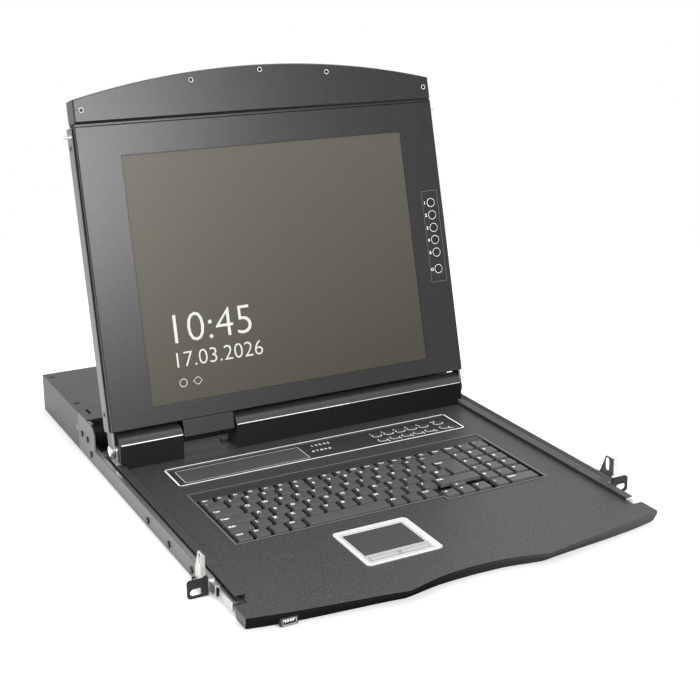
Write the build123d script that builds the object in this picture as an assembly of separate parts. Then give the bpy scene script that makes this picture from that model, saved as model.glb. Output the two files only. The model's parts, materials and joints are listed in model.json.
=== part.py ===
# Rackmount console drawer: a one unit box with a drawer that carries a keyboard, a touch pad,
# a row of computer select buttons and a screen in a folding lid.
# All sizes are millimetres. X runs to the right, Y to the back and Z up.
# Zero is the middle of the width, the front face of the rack ears and the underside of the box.
# The parts stand in the pose of the photo: drawer out a little, lid open and leaning back.
from build123d import *
from math import sqrt
import os

os.makedirs("parts", exist_ok=True)

# Screen, which sets the width and height of the lid
SCREEN_WIDTH = 337.9
SCREEN_HEIGHT = 270.3
SCREEN_SIDE = 48.05
SCREEN_LOW = 39.9
SCREEN_ABOVE = 33.8
SCREEN_ROOM = 0.2
SCREEN_RECESS = 0.8
PANEL_MARGIN = 8.0
PANEL_BACK = 2.0

# Widths from the lid out to the rack ears
SHEET = 1.2
LID_HALF = SCREEN_WIDTH / 2 + SCREEN_SIDE
LID_SIDE_GAP = 5.0
HALF_BOX = LID_HALF + LID_SIDE_GAP
RAIL_INNER = HALF_BOX - SHEET
EAR_REACH = 19.3
RACK_SLOT_FROM_EDGE = 8.75
RACK_SLOT_X = HALF_BOX + EAR_REACH - RACK_SLOT_FROM_EDGE
RACK_SLOT_Z = 6.35
RACK_SLOT_LENGTH = 12.5
RACK_SLOT_WIDTH = 7.0

# Heights of the box
UNIT_HEIGHT = 43.6
RAIL_TOP = 18.0

# Keyboard, laid out from the middle of the drawer
KEY_TOP = 14.8
KEY_HEIGHT = 3.4
KEY_TAPER = 14.0
KEY_GAP = 3.0
KEY_PITCH = 18.4
ROW_FRONT = 60.8
ROW_PITCH = 19.4
FUNCTION_GAP = 1.8
FUNCTION_DEPTH = 8.6
FUNCTION_COUNT = 17
KEY_ROWS = [(25.3, 11, True), (34.3, 12, False), (30.3, 12, False), (20.6, 12, True)]
ENTER_WIDTH = 21.4
ENTER_STEP = 4.0
PAD_GAP = 2.4
PAD_PITCH = 18.2
PAD_ROW_PITCH = 19.6
PAD_SIDE = 2.5
ROW_DEPTH = ROW_PITCH - KEY_GAP
MAIN_WIDTH = KEY_ROWS[1][0] + KEY_GAP + KEY_PITCH * KEY_ROWS[1][1] + ENTER_WIDTH
KEYS_WIDTH = MAIN_WIDTH + PAD_GAP + 3 * PAD_PITCH - KEY_GAP
KEY_LEFT = -(KEYS_WIDTH + PAD_SIDE) / 2
KEY_RIGHT = KEY_LEFT + MAIN_WIDTH
PAD_LEFT = KEY_RIGHT + PAD_GAP
CURSOR_PITCH = 18.9
CURSOR_DROP = 9.2
CURSOR_SIDE = 3.8
CURSOR_FRONT = ROW_FRONT - CURSOR_DROP
CURSOR_LEFT = KEY_RIGHT - CURSOR_SIDE - 3 * CURSOR_PITCH + KEY_GAP
UP_GAP = 2.2
UP_FRONT = CURSOR_FRONT + ROW_DEPTH + UP_GAP
UP_DEPTH = 8.0
SPACE_LEFT = KEY_LEFT + 4 * KEY_PITCH
SPACE_RIGHT = CURSOR_LEFT - CURSOR_SIDE - 3 * KEY_PITCH
FUNCTION_FRONT = ROW_FRONT + 4 * ROW_PITCH + ROW_DEPTH + FUNCTION_GAP
KEY_STEM = 3.4
STEM_ROOM = 0.3
KEY_MARGIN = 3.2
KEY_FRAME_RIM = 1.4
KEY_FRAME_RISE = 0.5
KEY_PLATE_TOP = 8.2
KEY_STEP_SIDE = 1.9
BAND_GAP = 2.8
BAND_DEPTH = 17.3
KEY_FIELD_X = KEY_MARGIN + 0.1 - KEY_LEFT
KEY_FIELD_STEP_X = CURSOR_LEFT - KEY_STEP_SIDE
KEY_BAND_Y = FUNCTION_FRONT + FUNCTION_DEPTH + BAND_GAP
KEY_FIELD_BACK = KEY_BAND_Y + BAND_DEPTH

# Switch strip with the display window and the select buttons, behind the keyboard
STRIP_KEY_GAP = 24.4
STRIP_DEPTH = 50.1
STRIP_OVERHANG = 0.7
STRIP_RIM = 1.5
STRIP_RISE = 0.7
STRIP_X = KEY_FIELD_X + STRIP_OVERHANG
STRIP_Y = (KEY_FIELD_BACK + STRIP_KEY_GAP, KEY_FIELD_BACK + STRIP_KEY_GAP + STRIP_DEPTH)
WINDOW_SIDE = 10.6
WINDOW_LENGTH = 140.0
WINDOW_FRONT = 8.3
WINDOW_DEPTH = 32.0
WINDOW_X = (WINDOW_SIDE - STRIP_X, WINDOW_SIDE + WINDOW_LENGTH - STRIP_X)
WINDOW_Y = (STRIP_Y[0] + WINDOW_FRONT, STRIP_Y[0] + WINDOW_FRONT + WINDOW_DEPTH)
BUTTON_COUNT = 5
BUTTON_PITCH = 15.1
BUTTON_SIDE = 39.0
MODE_SIDE = 19.5
BUTTON_COLUMNS = [STRIP_X - BUTTON_SIDE - BUTTON_PITCH * i for i in range(BUTTON_COUNT)]
MODE_COLUMN = STRIP_X - MODE_SIDE
BUTTON_FRONT = 14.9
BUTTON_ROW_PITCH = 14.6
BUTTON_ROWS = [STRIP_Y[0] + BUTTON_FRONT, STRIP_Y[0] + BUTTON_FRONT + BUTTON_ROW_PITCH]
BUTTON_LENGTH = 9.8
BUTTON_WIDTH = 6.6
BUTTON_RISE = 1.0
BUTTON_ROOM = 0.25
BUTTON_BODY = 5.0

# Hinge line and the lengths behind it, from the strip to the rear of the box
HINGE_STRIP_GAP = 37.1
HINGE_Y = STRIP_Y[1] + HINGE_STRIP_GAP
HINGE_Z = 31.2
TRAY_REAR_Y = HINGE_Y + 38.1
BRACKET_GAP = 1.0
BRACKET_FRONT_Y = TRAY_REAR_Y + BRACKET_GAP
BRACKET_CURVE_Z = 36.0
BRACKET_CURVE = 16.0
BRACKET_TOP_Y = BRACKET_FRONT_Y + BRACKET_CURVE
BRACKET_LENGTH = 62.0
SEAM_Y = BRACKET_FRONT_Y + BRACKET_LENGTH
SEAM_GAP = 0.5
TONGUE_LENGTH = 11.0
TONGUE_Y = SEAM_Y + TONGUE_LENGTH
TONGUE_LOW = 19.6
TONGUE_HIGH = 29.0
TAB_LENGTH = 12.0
TAB_REACH = 3.0
STRIP_FRONT_Y = SEAM_Y - 30.0
STRIP_REAR_Y = SEAM_Y + 7.5
STRIP_DROP = 4.5
STRIP_SLOT = (3.0, 16.0, 11.0)
STRIP_SLOT_EDGE = 3.5
LAP_FRONT_Y = SEAM_Y - 41.0
LAP_REAR_Y = SEAM_Y + 34.0
REAR_LENGTH = 149.0
BOX_REAR_Y = SEAM_Y + REAR_LENGTH
RAIL_SCREWS = [(41.5, 6.9), (101.9, 6.9), (162.1, 6.9), (SEAM_Y - 47.0, 9.6)]
BRACKET_SCREWS = [(SEAM_Y - 35.2, 23.0), (SEAM_Y - 14.4, 23.0)]
TOP_SCREW_SIDE = 8.0
TOP_SCREWS_Y = [SEAM_Y + 31.0, BOX_REAR_Y - 13.0]
SCREW_HEAD = 3.4
SCREW_HEAD_HEIGHT = 1.4
TOP_HEAD_HEIGHT = 0.5
SCREW_SHANK = 1.9
SCREW_ROOM = 0.1

# Rack ears and lid latches
EAR_THICK = 2.0
EAR_LOW = 0.8
EAR_LEG = 1.2
EAR_LEG_Y = 28.0
EAR_CORNER = 3.0
LUG_LENGTH = 3.0
LUG_HALF = 2.0
LATCH_GAP = 0.3
LATCH_THICK = 1.2
LATCH_PIVOT_Z = 5.0
LATCH_PIN_RADIUS = 1.0
LATCH_KNUCKLE_RADIUS = 2.0
LATCH_SLOT_Y = 12.0
LATCH_SLOT_WIDTH = 5.6
LATCH_SLOT_LENGTH = 14.0
LATCH_TOP = 38.4
LATCH_LIP = 3.5
RUN_FIT = 0.05

# Drawer slides, three nested channels on each side
SLIDE_Z = 7.3
SLIDE_SHEET = 1.0
SLIDE_DEPTH = 11.0
OUTER_HEIGHT = 13.0
MIDDLE_HEIGHT = 10.6
INNER_HEIGHT = 8.2
OUTER_REACH = 7.3
MIDDLE_REACH = 6.9
INNER_REACH = 6.7
SLIDE_GAP = 0.4
OUTER_Y = (3.0, SEAM_Y - 3.0)
MIDDLE_Y = (-10.0, OUTER_Y[1] - 23.0)
INNER_Y = (-42.5, TRAY_REAR_Y + 10.0)
RIVETS_Y = [-34.0, -15.0]
RIVET_RADIUS = 1.8

# Drawer tray
DECK_TOP = 13.2
DECK_SHEET = 1.2
LIP_TOP = 17.1
LIP_WIDTH = 8.4
LIP_RAIL_GAP = 7.4
LIP_INNER = RAIL_INNER - LIP_RAIL_GAP - LIP_WIDTH
LIP_FRONT_Y = -42.7
WING_GAP = 3.6
WING_X = HALF_BOX - WING_GAP
WING_REAR_Y = -51.7
BEZEL_LOW = 1.0
PAN_LOW = 1.6
PAN_FRONT_Y = -49.0
PAN_FLANGE = 7.0
PAN_SCREW_HEAD = 0.3
FRONT_EDGE = [(WING_X, -76.5), (159.0, -88.0), (108.0, -95.6), (74.0, -101.5)]
RECESS_EDGE = [(74.0, -101.5), (60.0, -97.6), (41.0, -92.4), (22.0, -89.7), (0.0, -88.4)]
FRONT_LOW = [(WING_X - 1.4, -72.0), (WING_X - 29.4, -78.0), (120.0, -85.8), (74.0, -90.9)]
RECESS_LOW = [(74.0, -90.9), (60.0, -88.8), (41.0, -84.9), (22.0, -83.2), (0.0, -82.6)]
FACE_LIP = 3.0
BEZEL_SIDE = 3.0
BEZEL_WALL = 6.5

# Touch pad
TOUCH_X = (-86.0, -6.0)
TOUCH_Y = (-43.4, 32.8)
TOUCH_CORNER = 5.0
TOUCH_RISE = 0.8
TOUCH_RIM = 1.5
TOUCH_SIDE = 6.6
TOUCH_BACK = 9.2
TOUCH_FRONT = 5.6
TOUCH_BUTTON_DEPTH = 9.6
TOUCH_BUTTON_BACK = 4.0
TOUCH_PAD_X = (TOUCH_X[0] + TOUCH_SIDE, TOUCH_X[1] - TOUCH_SIDE - 2.6)
TOUCH_BUTTON_Y = (TOUCH_Y[0] + TOUCH_FRONT, TOUCH_Y[0] + TOUCH_FRONT + TOUCH_BUTTON_DEPTH)
TOUCH_PAD_Y = (TOUCH_BUTTON_Y[1] + TOUCH_BUTTON_BACK, TOUCH_Y[1] - TOUCH_BACK)
TOUCH_BUTTON_GAP = 0.8
TOUCH_BUTTON_RISE = 1.2

# Universal serial bus socket in the front edge
USB_SIDE = 36.4
USB_X = USB_SIDE - WING_X
USB_FRONT_Y = -84.0
USB_HOUSING = (16.0, 18.0, 7.6)
USB_SHELL = (12.6, 13.0, 5.2)
USB_SHELL_SHEET = 0.4

# Lid, drawn upright from the hinge line and leaned back afterwards
LID_LEAN = 13.96
LID_FACE = 13.5
LID_BACK = -12.0
LID_SPLIT = 4.3
BEZEL_INSET = 1.8
BEZEL_HALF = LID_HALF - BEZEL_INSET
LID_LOW = 20.0
LID_HIGH = SCREEN_LOW + SCREEN_HEIGHT + SCREEN_ABOVE
LID_WALL = 1.2
BEZEL_FACE_WALL = 2.0
TONGUE_X = (-138.0, -80.0)
TONGUE_BOTTOM = -4.0
TONGUE_BACK = -8.0
BAR_FOOT = 4.0
BAR_INSET = 0.7
BAR_HALF = BEZEL_HALF - BAR_INSET
BAR_LOW = LID_HIGH + BAR_FOOT
BAR_SHOULDER = BAR_LOW + 24.5
BAR_TOP = BAR_LOW + 51.0
BAR_FRONT = 15.0
BAR_BACK = -10.0
BAR_FOOT_SIDE = 9.0
BAR_SCREWS = [(BAR_HALF - 8.0, BAR_LOW + 13.0), (82.0, BAR_LOW + 38.0), (0.0, BAR_LOW + 45.0)]
OSD_X = (LID_HALF - 29.5, LID_HALF - 7.5)
OSD_V = (128.2, 238.0)
OSD_BUTTON_X = LID_HALF - 17.8
OSD_BUTTONS_V = [163.7, 178.8, 193.4, 208.5, 223.3]
POWER_BUTTON_V = 143.8
OSD_BUTTON_RADIUS = 4.4
OSD_RISE = 0.8
CATCH_DROP = 9.5
CATCH_V = LID_HIGH - CATCH_DROP
CATCH_W = 1.5
CATCH_RADIUS = 1.5
CATCH_REACH = 0.3
CATCH_END = HALF_BOX + EAR_LEG + LATCH_GAP + LATCH_THICK + CATCH_REACH

# Hinges and their covers
ARM_X = (LID_HALF - 3.9, LID_HALF - 1.5)
ARM_RADIUS = 8.0
ARM_FRONT = 7.4
ARM_INSIDE_TOP = 62.0
ARM_INSIDE_FRONT = 3.5
HINGE_PIN_RADIUS = 2.5
HINGE_DISC_RADIUS = 5.5
HINGE_DISC_END = LID_HALF + 0.6
BARREL_RADIUS = 5.8
BARREL_LENGTH = 12.4
UPRIGHT_X = (ARM_X[0] - 2.7, ARM_X[0] - 0.7)
BARREL_START = UPRIGHT_X[0] - BARREL_LENGTH
UPRIGHT_RADIUS = 7.5
FOOT_Y = (HINGE_Y - 7.9, HINGE_Y + 8.1)
FOOT_THICK = 1.5
FOOT_SCREW_HEAD = 0.9
COVER_Y = (HINGE_Y - 14.9, HINGE_Y + 14.1)
COVER_RADIUS = 17.2
COVER_WALL = 1.4
COVER_END_GAP = 0.4
TONGUE_GAP = 2.0
COVER_LEFT = (COVER_END_GAP - UPRIGHT_X[0], TONGUE_X[0] - TONGUE_GAP)
COVER_RIGHT = (TONGUE_X[1] + TONGUE_GAP, UPRIGHT_X[0] - COVER_END_GAP)
CLIP_GAP = 1.0
CLIP_LENGTH = 8.5
CLIP_DEPTH = 5.5
CLIP_HEIGHT = 3.4

# Inside of the rear box and its rear panel
PANEL_INSET = 6.2
REAR_PANEL_Y = BOX_REAR_Y - PANEL_INSET
BOARD_Z = 8.0
BOARD_SHEET = 1.6
BOARD_DEPTH = 88.0
BOARD_REAR_GAP = 12.8
PORT_COUNT = 8
PORT_PITCH = 32.0
PORT_Z = 16.0
PORT_BODY_HALF = 15.4
SUPPLY_SIDE = 16.8
SUPPLY_WIDTH = 72.0
SUPPLY_DEPTH = 80.0
SUPPLY_TOP = 34.0
SUPPLY_REAR_GAP = 24.8
BOARD_GAP = 14.0
BOARD_SIDE = 22.0
CHIP_SIZE = 22.0
SUPPLY_LEFT = SUPPLY_SIDE - RAIL_INNER
BOARD_LEFT = SUPPLY_LEFT + SUPPLY_WIDTH + BOARD_GAP
PORT_FIRST_X = BOARD_LEFT + BOARD_SIDE
BOARD_RIGHT = PORT_FIRST_X + PORT_PITCH * (PORT_COUNT - 1) + BOARD_SIDE
INLET_X = SUPPLY_LEFT + 18.0
ROCKER_X = SUPPLY_LEFT + 54.0
ROCKER_Z = 18.0
PANEL_ROOM = 0.2
PORT_HALF = 8.2
PORT_HALF_HEIGHT = 4.1
INLET_Z = 18.0
INLET_HALF = 13.4
INLET_HALF_HEIGHT = 9.6
INLET_WALL = 2.0
ROCKER_HALF = 5.2
ROCKER_HALF_HEIGHT = 9.6
LID_BOARD = (140.0, 110.0)
LID_BOARD_LOW = 80.0


def block(x1, x2, y1, y2, z1, z2):
    """A straight block between two values on each axis."""
    return Pos((x1 + x2) / 2, (y1 + y2) / 2, (z1 + z2) / 2) * Box(x2 - x1, y2 - y1, z2 - z1)


def rod_x(x1, x2, y, z, radius):
    """A round rod along X."""
    return Pos((x1 + x2) / 2, y, z) * Rot(0, 90, 0) * Cylinder(radius, abs(x2 - x1))


def rod_y(y1, y2, x, z, radius):
    """A round rod along Y."""
    return Pos(x, (y1 + y2) / 2, z) * Rot(90, 0, 0) * Cylinder(radius, abs(y2 - y1))


def rod_z(z1, z2, x, y, radius):
    """A round rod along Z."""
    return Pos(x, y, (z1 + z2) / 2) * Cylinder(radius, abs(z2 - z1))


def plan_plate(points, z1, z2):
    """A plate cut to a plan outline, from z1 up to z2."""
    face = make_face(Polyline(*points, close=True))
    return Pos(0, 0, z1) * extrude(face, amount=z2 - z1)


def side_plate(points, x1, x2):
    """A plate cut to an outline of (y, z) points, from x1 to x2."""
    face = make_face(Plane.YZ * Polyline(*points, close=True))
    return Pos(x1, 0, 0) * extrude(face, amount=x2 - x1, dir=(1, 0, 0))


def lid_block(x1, x2, v1, v2, w1, w2):
    """A block of the upright lid: v runs up the lid and w out of its front."""
    return block(x1, x2, -w2, -w1, v1, v2)


def lean(piece):
    """Carry a piece of the upright lid to the hinge and lean it back."""
    return Pos(0, HINGE_Y, HINGE_Z) * Rot(-LID_LEAN, 0, 0) * piece


def flip(piece):
    """The same piece for the left side."""
    return mirror(piece, about=Plane.YZ)


def save(name, *pieces):
    """Write one node to its own file."""
    shape = pieces[0] if len(pieces) == 1 else Compound(children=list(pieces))
    export_step(shape, "parts/" + name + ".step")


def channel(x_web, x_mouth, height, y_range, sheet):
    """A C channel with an upright web at x_web and its mouth towards x_mouth."""
    step = sheet if x_mouth > x_web else -sheet
    low = SLIDE_Z - height / 2
    high = SLIDE_Z + height / 2
    x1, x2 = sorted((x_web, x_web + step))
    m1, m2 = sorted((x_web, x_mouth))
    web = block(x1, x2, y_range[0], y_range[1], low, high)
    lower = block(m1, m2, y_range[0], y_range[1], low, low + sheet)
    upper = block(m1, m2, y_range[0], y_range[1], high - sheet, high)
    return web + lower + upper


# Box: side rails, strip, cover, base and rear panel
def side_rail():
    """Right rail: low in front, with the full height bracket behind it."""
    lower = Polyline(
        (BRACKET_FRONT_Y, BRACKET_CURVE_Z),
        (BRACKET_FRONT_Y, RAIL_TOP),
        (EAR_THICK, RAIL_TOP),
        (EAR_THICK, 0),
        (SEAM_Y, 0),
        (SEAM_Y, TONGUE_LOW),
        (TONGUE_Y, TONGUE_LOW),
        (TONGUE_Y, TONGUE_HIGH),
        (SEAM_Y, TONGUE_HIGH),
        (SEAM_Y, UNIT_HEIGHT),
        (BRACKET_TOP_Y, UNIT_HEIGHT),
    )
    curve = TangentArc((BRACKET_TOP_Y, UNIT_HEIGHT), (BRACKET_FRONT_Y, BRACKET_CURVE_Z), tangent=(-1, 0))
    face = make_face(Plane.YZ * (Curve() + [lower, curve]))
    rail = Pos(RAIL_INNER, 0, 0) * extrude(face, amount=SHEET, dir=(1, 0, 0))
    tab_rear = BRACKET_TOP_Y + TAB_LENGTH
    rail += block(RAIL_INNER - TAB_REACH, HALF_BOX, BRACKET_TOP_Y, tab_rear, UNIT_HEIGHT - SHEET, UNIT_HEIGHT)
    for y, z in RAIL_SCREWS + BRACKET_SCREWS:
        rail -= rod_x(RAIL_INNER - 1, HALF_BOX + 1, y, z, SCREW_SHANK + SCREW_ROOM)
    return rail


def cross_strip():
    """Strip across the top front of the box, with ends that lap the side seams."""
    top = block(-RAIL_INNER, RAIL_INNER, STRIP_FRONT_Y, STRIP_REAR_Y, UNIT_HEIGHT - SHEET, UNIT_HEIGHT)
    front_low = UNIT_HEIGHT - SHEET - STRIP_DROP
    strip = top + block(
        -RAIL_INNER, RAIL_INNER, STRIP_FRONT_Y, STRIP_FRONT_Y + SHEET, front_low, UNIT_HEIGHT - SHEET
    )
    for side in (-1, 1):
        x1, x2 = sorted((side * RAIL_INNER, side * (RAIL_INNER - SHEET)))
        end = block(x1, x2, LAP_FRONT_Y, LAP_REAR_Y, RAIL_TOP, UNIT_HEIGHT - SHEET)
        for y, z in BRACKET_SCREWS:
            end -= rod_x(x1 - 1, x2 + 1, y, z, SCREW_SHANK + SCREW_ROOM)
        strip += end
    width, length, inset = STRIP_SLOT
    slot_x = inset - HALF_BOX
    rear = STRIP_REAR_Y - STRIP_SLOT_EDGE
    return strip - block(
        slot_x - width / 2, slot_x + width / 2, rear - length, rear, UNIT_HEIGHT - 2 * SHEET, UNIT_HEIGHT + 1
    )


def rear_cover():
    """Top cover bent down into both sides, with the seam that takes the rail tongue."""
    outer = block(-HALF_BOX, HALF_BOX, SEAM_Y + SEAM_GAP, BOX_REAR_Y, 0, UNIT_HEIGHT)
    inner = block(-RAIL_INNER, RAIL_INNER, SEAM_Y - 1, BOX_REAR_Y + 1, -1, UNIT_HEIGHT - SHEET)
    cover = outer - inner
    cover -= block(
        -RAIL_INNER, RAIL_INNER, SEAM_Y - 1, STRIP_REAR_Y + SEAM_GAP, UNIT_HEIGHT - 2 * SHEET, UNIT_HEIGHT + 1
    )
    notch_low = TONGUE_LOW - SEAM_GAP
    notch_high = TONGUE_HIGH + SEAM_GAP
    cover -= block(-HALF_BOX - 1, HALF_BOX + 1, SEAM_Y - 1, TONGUE_Y + SEAM_GAP, notch_low, notch_high)
    for x in (TOP_SCREW_SIDE - HALF_BOX, HALF_BOX - TOP_SCREW_SIDE):
        for y in TOP_SCREWS_Y:
            cover -= rod_z(UNIT_HEIGHT - 3, UNIT_HEIGHT + 1, x, y, SCREW_SHANK + SCREW_ROOM)
    return cover


def base_pan():
    """Floor of the rear box, narrow in front where the slides run, with upright side flanges."""
    narrow = RAIL_INNER - SLIDE_DEPTH + 1.5
    wide_y = SEAM_Y + 2
    rear = BOX_REAR_Y
    points = [
        (-narrow, BRACKET_FRONT_Y + 2),
        (narrow, BRACKET_FRONT_Y + 2),
        (narrow, wide_y),
        (RAIL_INNER, wide_y),
        (RAIL_INNER, rear),
        (-RAIL_INNER, rear),
        (-RAIL_INNER, wide_y),
        (-narrow, wide_y),
    ]
    pan = plan_plate(points, 0, SHEET)
    for side in (-1, 1):
        x1, x2 = sorted((side * RAIL_INNER, side * (RAIL_INNER - SHEET)))
        pan += block(x1, x2, wide_y, REAR_PANEL_Y - 1, SHEET, RAIL_TOP - 2)
    return pan


def port_xs():
    """Places of the computer ports along the rear panel."""
    return [PORT_FIRST_X + PORT_PITCH * i for i in range(PORT_COUNT)]


def rear_panel():
    """Rear wall with openings for the ports, the inlet and the switch."""
    half = RAIL_INNER
    panel = block(-half, half, REAR_PANEL_Y, REAR_PANEL_Y + SHEET, SHEET, UNIT_HEIGHT - SHEET)
    openings = [(x, PORT_Z, PORT_HALF + PANEL_ROOM, PORT_HALF_HEIGHT + PANEL_ROOM) for x in port_xs()]
    openings.append((INLET_X, INLET_Z, INLET_HALF + PANEL_ROOM, INLET_HALF_HEIGHT + PANEL_ROOM))
    openings.append((ROCKER_X, ROCKER_Z, ROCKER_HALF + 0.3, ROCKER_HALF_HEIGHT))
    for x, z, width, height in openings:
        panel -= block(x - width, x + width, REAR_PANEL_Y - 1, REAR_PANEL_Y + 3, z - height, z + height)
    return panel


def switch_board():
    """Main board on spacers, with its larger chips."""
    rear = REAR_PANEL_Y - BOARD_REAR_GAP
    front = rear - BOARD_DEPTH
    low = BOARD_Z - BOARD_SHEET
    board = block(BOARD_LEFT, BOARD_RIGHT, front, rear, low, BOARD_Z)
    edge = 6.0
    for x in (BOARD_LEFT + edge, (BOARD_LEFT + BOARD_RIGHT) / 2, BOARD_RIGHT - edge):
        for y in (front + edge, rear - edge):
            board += rod_z(SHEET, low, x, y, 3.0)
    for x in port_xs()[::2]:
        board += block(x, x + CHIP_SIZE, front + CHIP_SIZE, front + 2 * CHIP_SIZE, BOARD_Z, BOARD_Z + 2.4)
    return board


def video_ports():
    """Eight D shaped port shells, each with its block on the board."""
    ports = []
    for x in port_xs():
        front = REAR_PANEL_Y - BOARD_REAR_GAP + 0.5
        half = PORT_BODY_HALF
        body = block(x - half, x + half, front, REAR_PANEL_Y, BOARD_Z + 1, BOARD_Z + 14)
        low, high = PORT_Z - PORT_HALF_HEIGHT, PORT_Z + PORT_HALF_HEIGHT
        shell = block(x - PORT_HALF, x + PORT_HALF, REAR_PANEL_Y, BOX_REAR_Y - 0.5, low, high)
        shell = chamfer(shell.edges().filter_by(Axis.Y).sort_by(Axis.Z)[:2], 2.0)
        foot = block(x - 10, x + 10, front - 7.5, front, BOARD_Z, BOARD_Z + 6)
        ports.append(body + shell + foot)
    return ports


def power_supply():
    """Closed power supply block at the left of the box."""
    right = SUPPLY_LEFT + SUPPLY_WIDTH
    rear = REAR_PANEL_Y - SUPPLY_REAR_GAP
    supply = block(SUPPLY_LEFT, right, rear - SUPPLY_DEPTH, rear, SHEET, SUPPLY_TOP)
    return supply - block(SUPPLY_LEFT + 6, right - 6, rear - 1, rear + 1, SUPPLY_TOP - 22, SUPPLY_TOP - 8)


def power_inlet():
    """Three pin power inlet, open to the rear."""
    low, high = INLET_Z - INLET_HALF_HEIGHT, INLET_Z + INLET_HALF_HEIGHT
    front = REAR_PANEL_Y - 18.8
    body = block(INLET_X - INLET_HALF, INLET_X + INLET_HALF, front, BOX_REAR_Y - 1, low, high)
    wall = INLET_WALL
    inside = INLET_HALF - wall
    inlet = body - block(INLET_X - inside, INLET_X + inside, front + 8, BOX_REAR_Y, low + wall, high - wall)
    for x, z in ((-6.5, INLET_Z - 2), (0, INLET_Z + 2), (6.5, INLET_Z - 2)):
        inlet += block(INLET_X + x - 1, INLET_X + x + 1, front + 7, front + 16, z - 2, z + 2)
    return inlet


def power_switch():
    """Rocker of the power switch with its pivot through the middle."""
    points = [
        (REAR_PANEL_Y - 6, ROCKER_Z - 6),
        (REAR_PANEL_Y + 2.6, ROCKER_Z - 8.2),
        (REAR_PANEL_Y + 1.8, ROCKER_Z),
        (REAR_PANEL_Y + 4.2, ROCKER_Z + 8.0),
        (REAR_PANEL_Y - 6, ROCKER_Z + 6),
    ]
    return side_plate(points, ROCKER_X - ROCKER_HALF, ROCKER_X + ROCKER_HALF)


# Rack ears, latch pivots and latches
def pivot_x():
    """How far out the latch pivots stand."""
    return HALF_BOX + EAR_LEG + LATCH_GAP + LATCH_KNUCKLE_RADIUS


def rack_ear():
    """Right ear: slotted flange, leg on the rail and two lugs for the latch pivot."""
    edge = HALF_BOX + EAR_REACH
    flange = block(HALF_BOX, edge, 0, EAR_THICK, EAR_LOW, RAIL_TOP)
    corners = flange.edges().filter_by(Axis.Y).group_by(Axis.X)[-1]
    flange = fillet(corners, EAR_CORNER)
    x = RACK_SLOT_X
    half = (RACK_SLOT_LENGTH - RACK_SLOT_WIDTH) / 2
    radius = RACK_SLOT_WIDTH / 2
    flange -= block(x - half, x + half, -1, EAR_THICK + 1, RACK_SLOT_Z - radius, RACK_SLOT_Z + radius)
    for end in (x - half, x + half):
        flange -= rod_y(-1, EAR_THICK + 1, end, RACK_SLOT_Z, radius)
    leg_x = HALF_BOX + EAR_LEG
    ear = flange + block(HALF_BOX, leg_x, EAR_THICK, EAR_LEG_Y, EAR_LOW, RAIL_TOP)
    for y in (EAR_THICK, EAR_LEG_Y - LUG_LENGTH):
        low, high = LATCH_PIVOT_Z - LUG_HALF, LATCH_PIVOT_Z + LUG_HALF
        lug = block(leg_x, pivot_x() + 1.8, y, y + LUG_LENGTH, low, high)
        ear += lug - rod_y(y - 1, y + LUG_LENGTH + 1, pivot_x(), LATCH_PIVOT_Z, LATCH_PIN_RADIUS + RUN_FIT)
    return ear


def latch_pivot():
    """Right pivot pin of the latch."""
    return rod_y(EAR_THICK + 0.3, EAR_LEG_Y, pivot_x(), LATCH_PIVOT_Z, LATCH_PIN_RADIUS)


def latch():
    """Right latch: slotted plate with a folded front edge and a knuckle round the pivot."""
    x1 = HALF_BOX + EAR_LEG + LATCH_GAP
    x2 = x1 + LATCH_THICK
    front = EAR_THICK + LUG_LENGTH + 0.3
    rear = EAR_LEG_Y - LUG_LENGTH - 0.3
    points = [
        (front, LATCH_PIVOT_Z),
        (rear, LATCH_PIVOT_Z),
        (rear, RAIL_TOP),
        (15.5, LATCH_TOP - 1),
        (14.0, LATCH_TOP),
        (1.4, LATCH_TOP),
        (1.4, RAIL_TOP + 1.4),
        (front, RAIL_TOP + 1.4),
    ]
    plate = side_plate(points, x1, x2)
    plate += rod_y(front, rear, pivot_x(), LATCH_PIVOT_Z, LATCH_KNUCKLE_RADIUS)
    plate += block(x1, x2 + LATCH_LIP, 1.4, 1.4 + LATCH_THICK, RAIL_TOP + 1.6, LATCH_TOP)
    plate -= rod_y(front - 1, rear + 1, pivot_x(), LATCH_PIVOT_Z, LATCH_PIN_RADIUS + RUN_FIT)
    slot_z = HINGE_Z - CATCH_W
    half = (LATCH_SLOT_LENGTH - LATCH_SLOT_WIDTH) / 2
    radius = LATCH_SLOT_WIDTH / 2
    y1 = LATCH_SLOT_Y - radius
    plate -= block(x1 - 1, x2 + 1, y1, y1 + LATCH_SLOT_WIDTH, slot_z - half, slot_z + half)
    for z in (slot_z - half, slot_z + half):
        plate -= rod_x(x1 - 1, x2 + 1, LATCH_SLOT_Y, z, radius)
    return plate


# Slides
def slide_outer():
    """Right outer member, screwed to the rail."""
    member = channel(RAIL_INNER, RAIL_INNER - OUTER_REACH, OUTER_HEIGHT, OUTER_Y, SLIDE_SHEET)
    for y, z in RAIL_SCREWS:
        member -= rod_x(RAIL_INNER - 2, RAIL_INNER + 1, y, z, SCREW_SHANK + SCREW_ROOM)
    return member


def slide_middle():
    """Right middle member, running inside the outer one."""
    web = RAIL_INNER - SLIDE_SHEET - SLIDE_GAP
    return channel(web, web - MIDDLE_REACH, MIDDLE_HEIGHT, MIDDLE_Y, SLIDE_SHEET)


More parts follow.
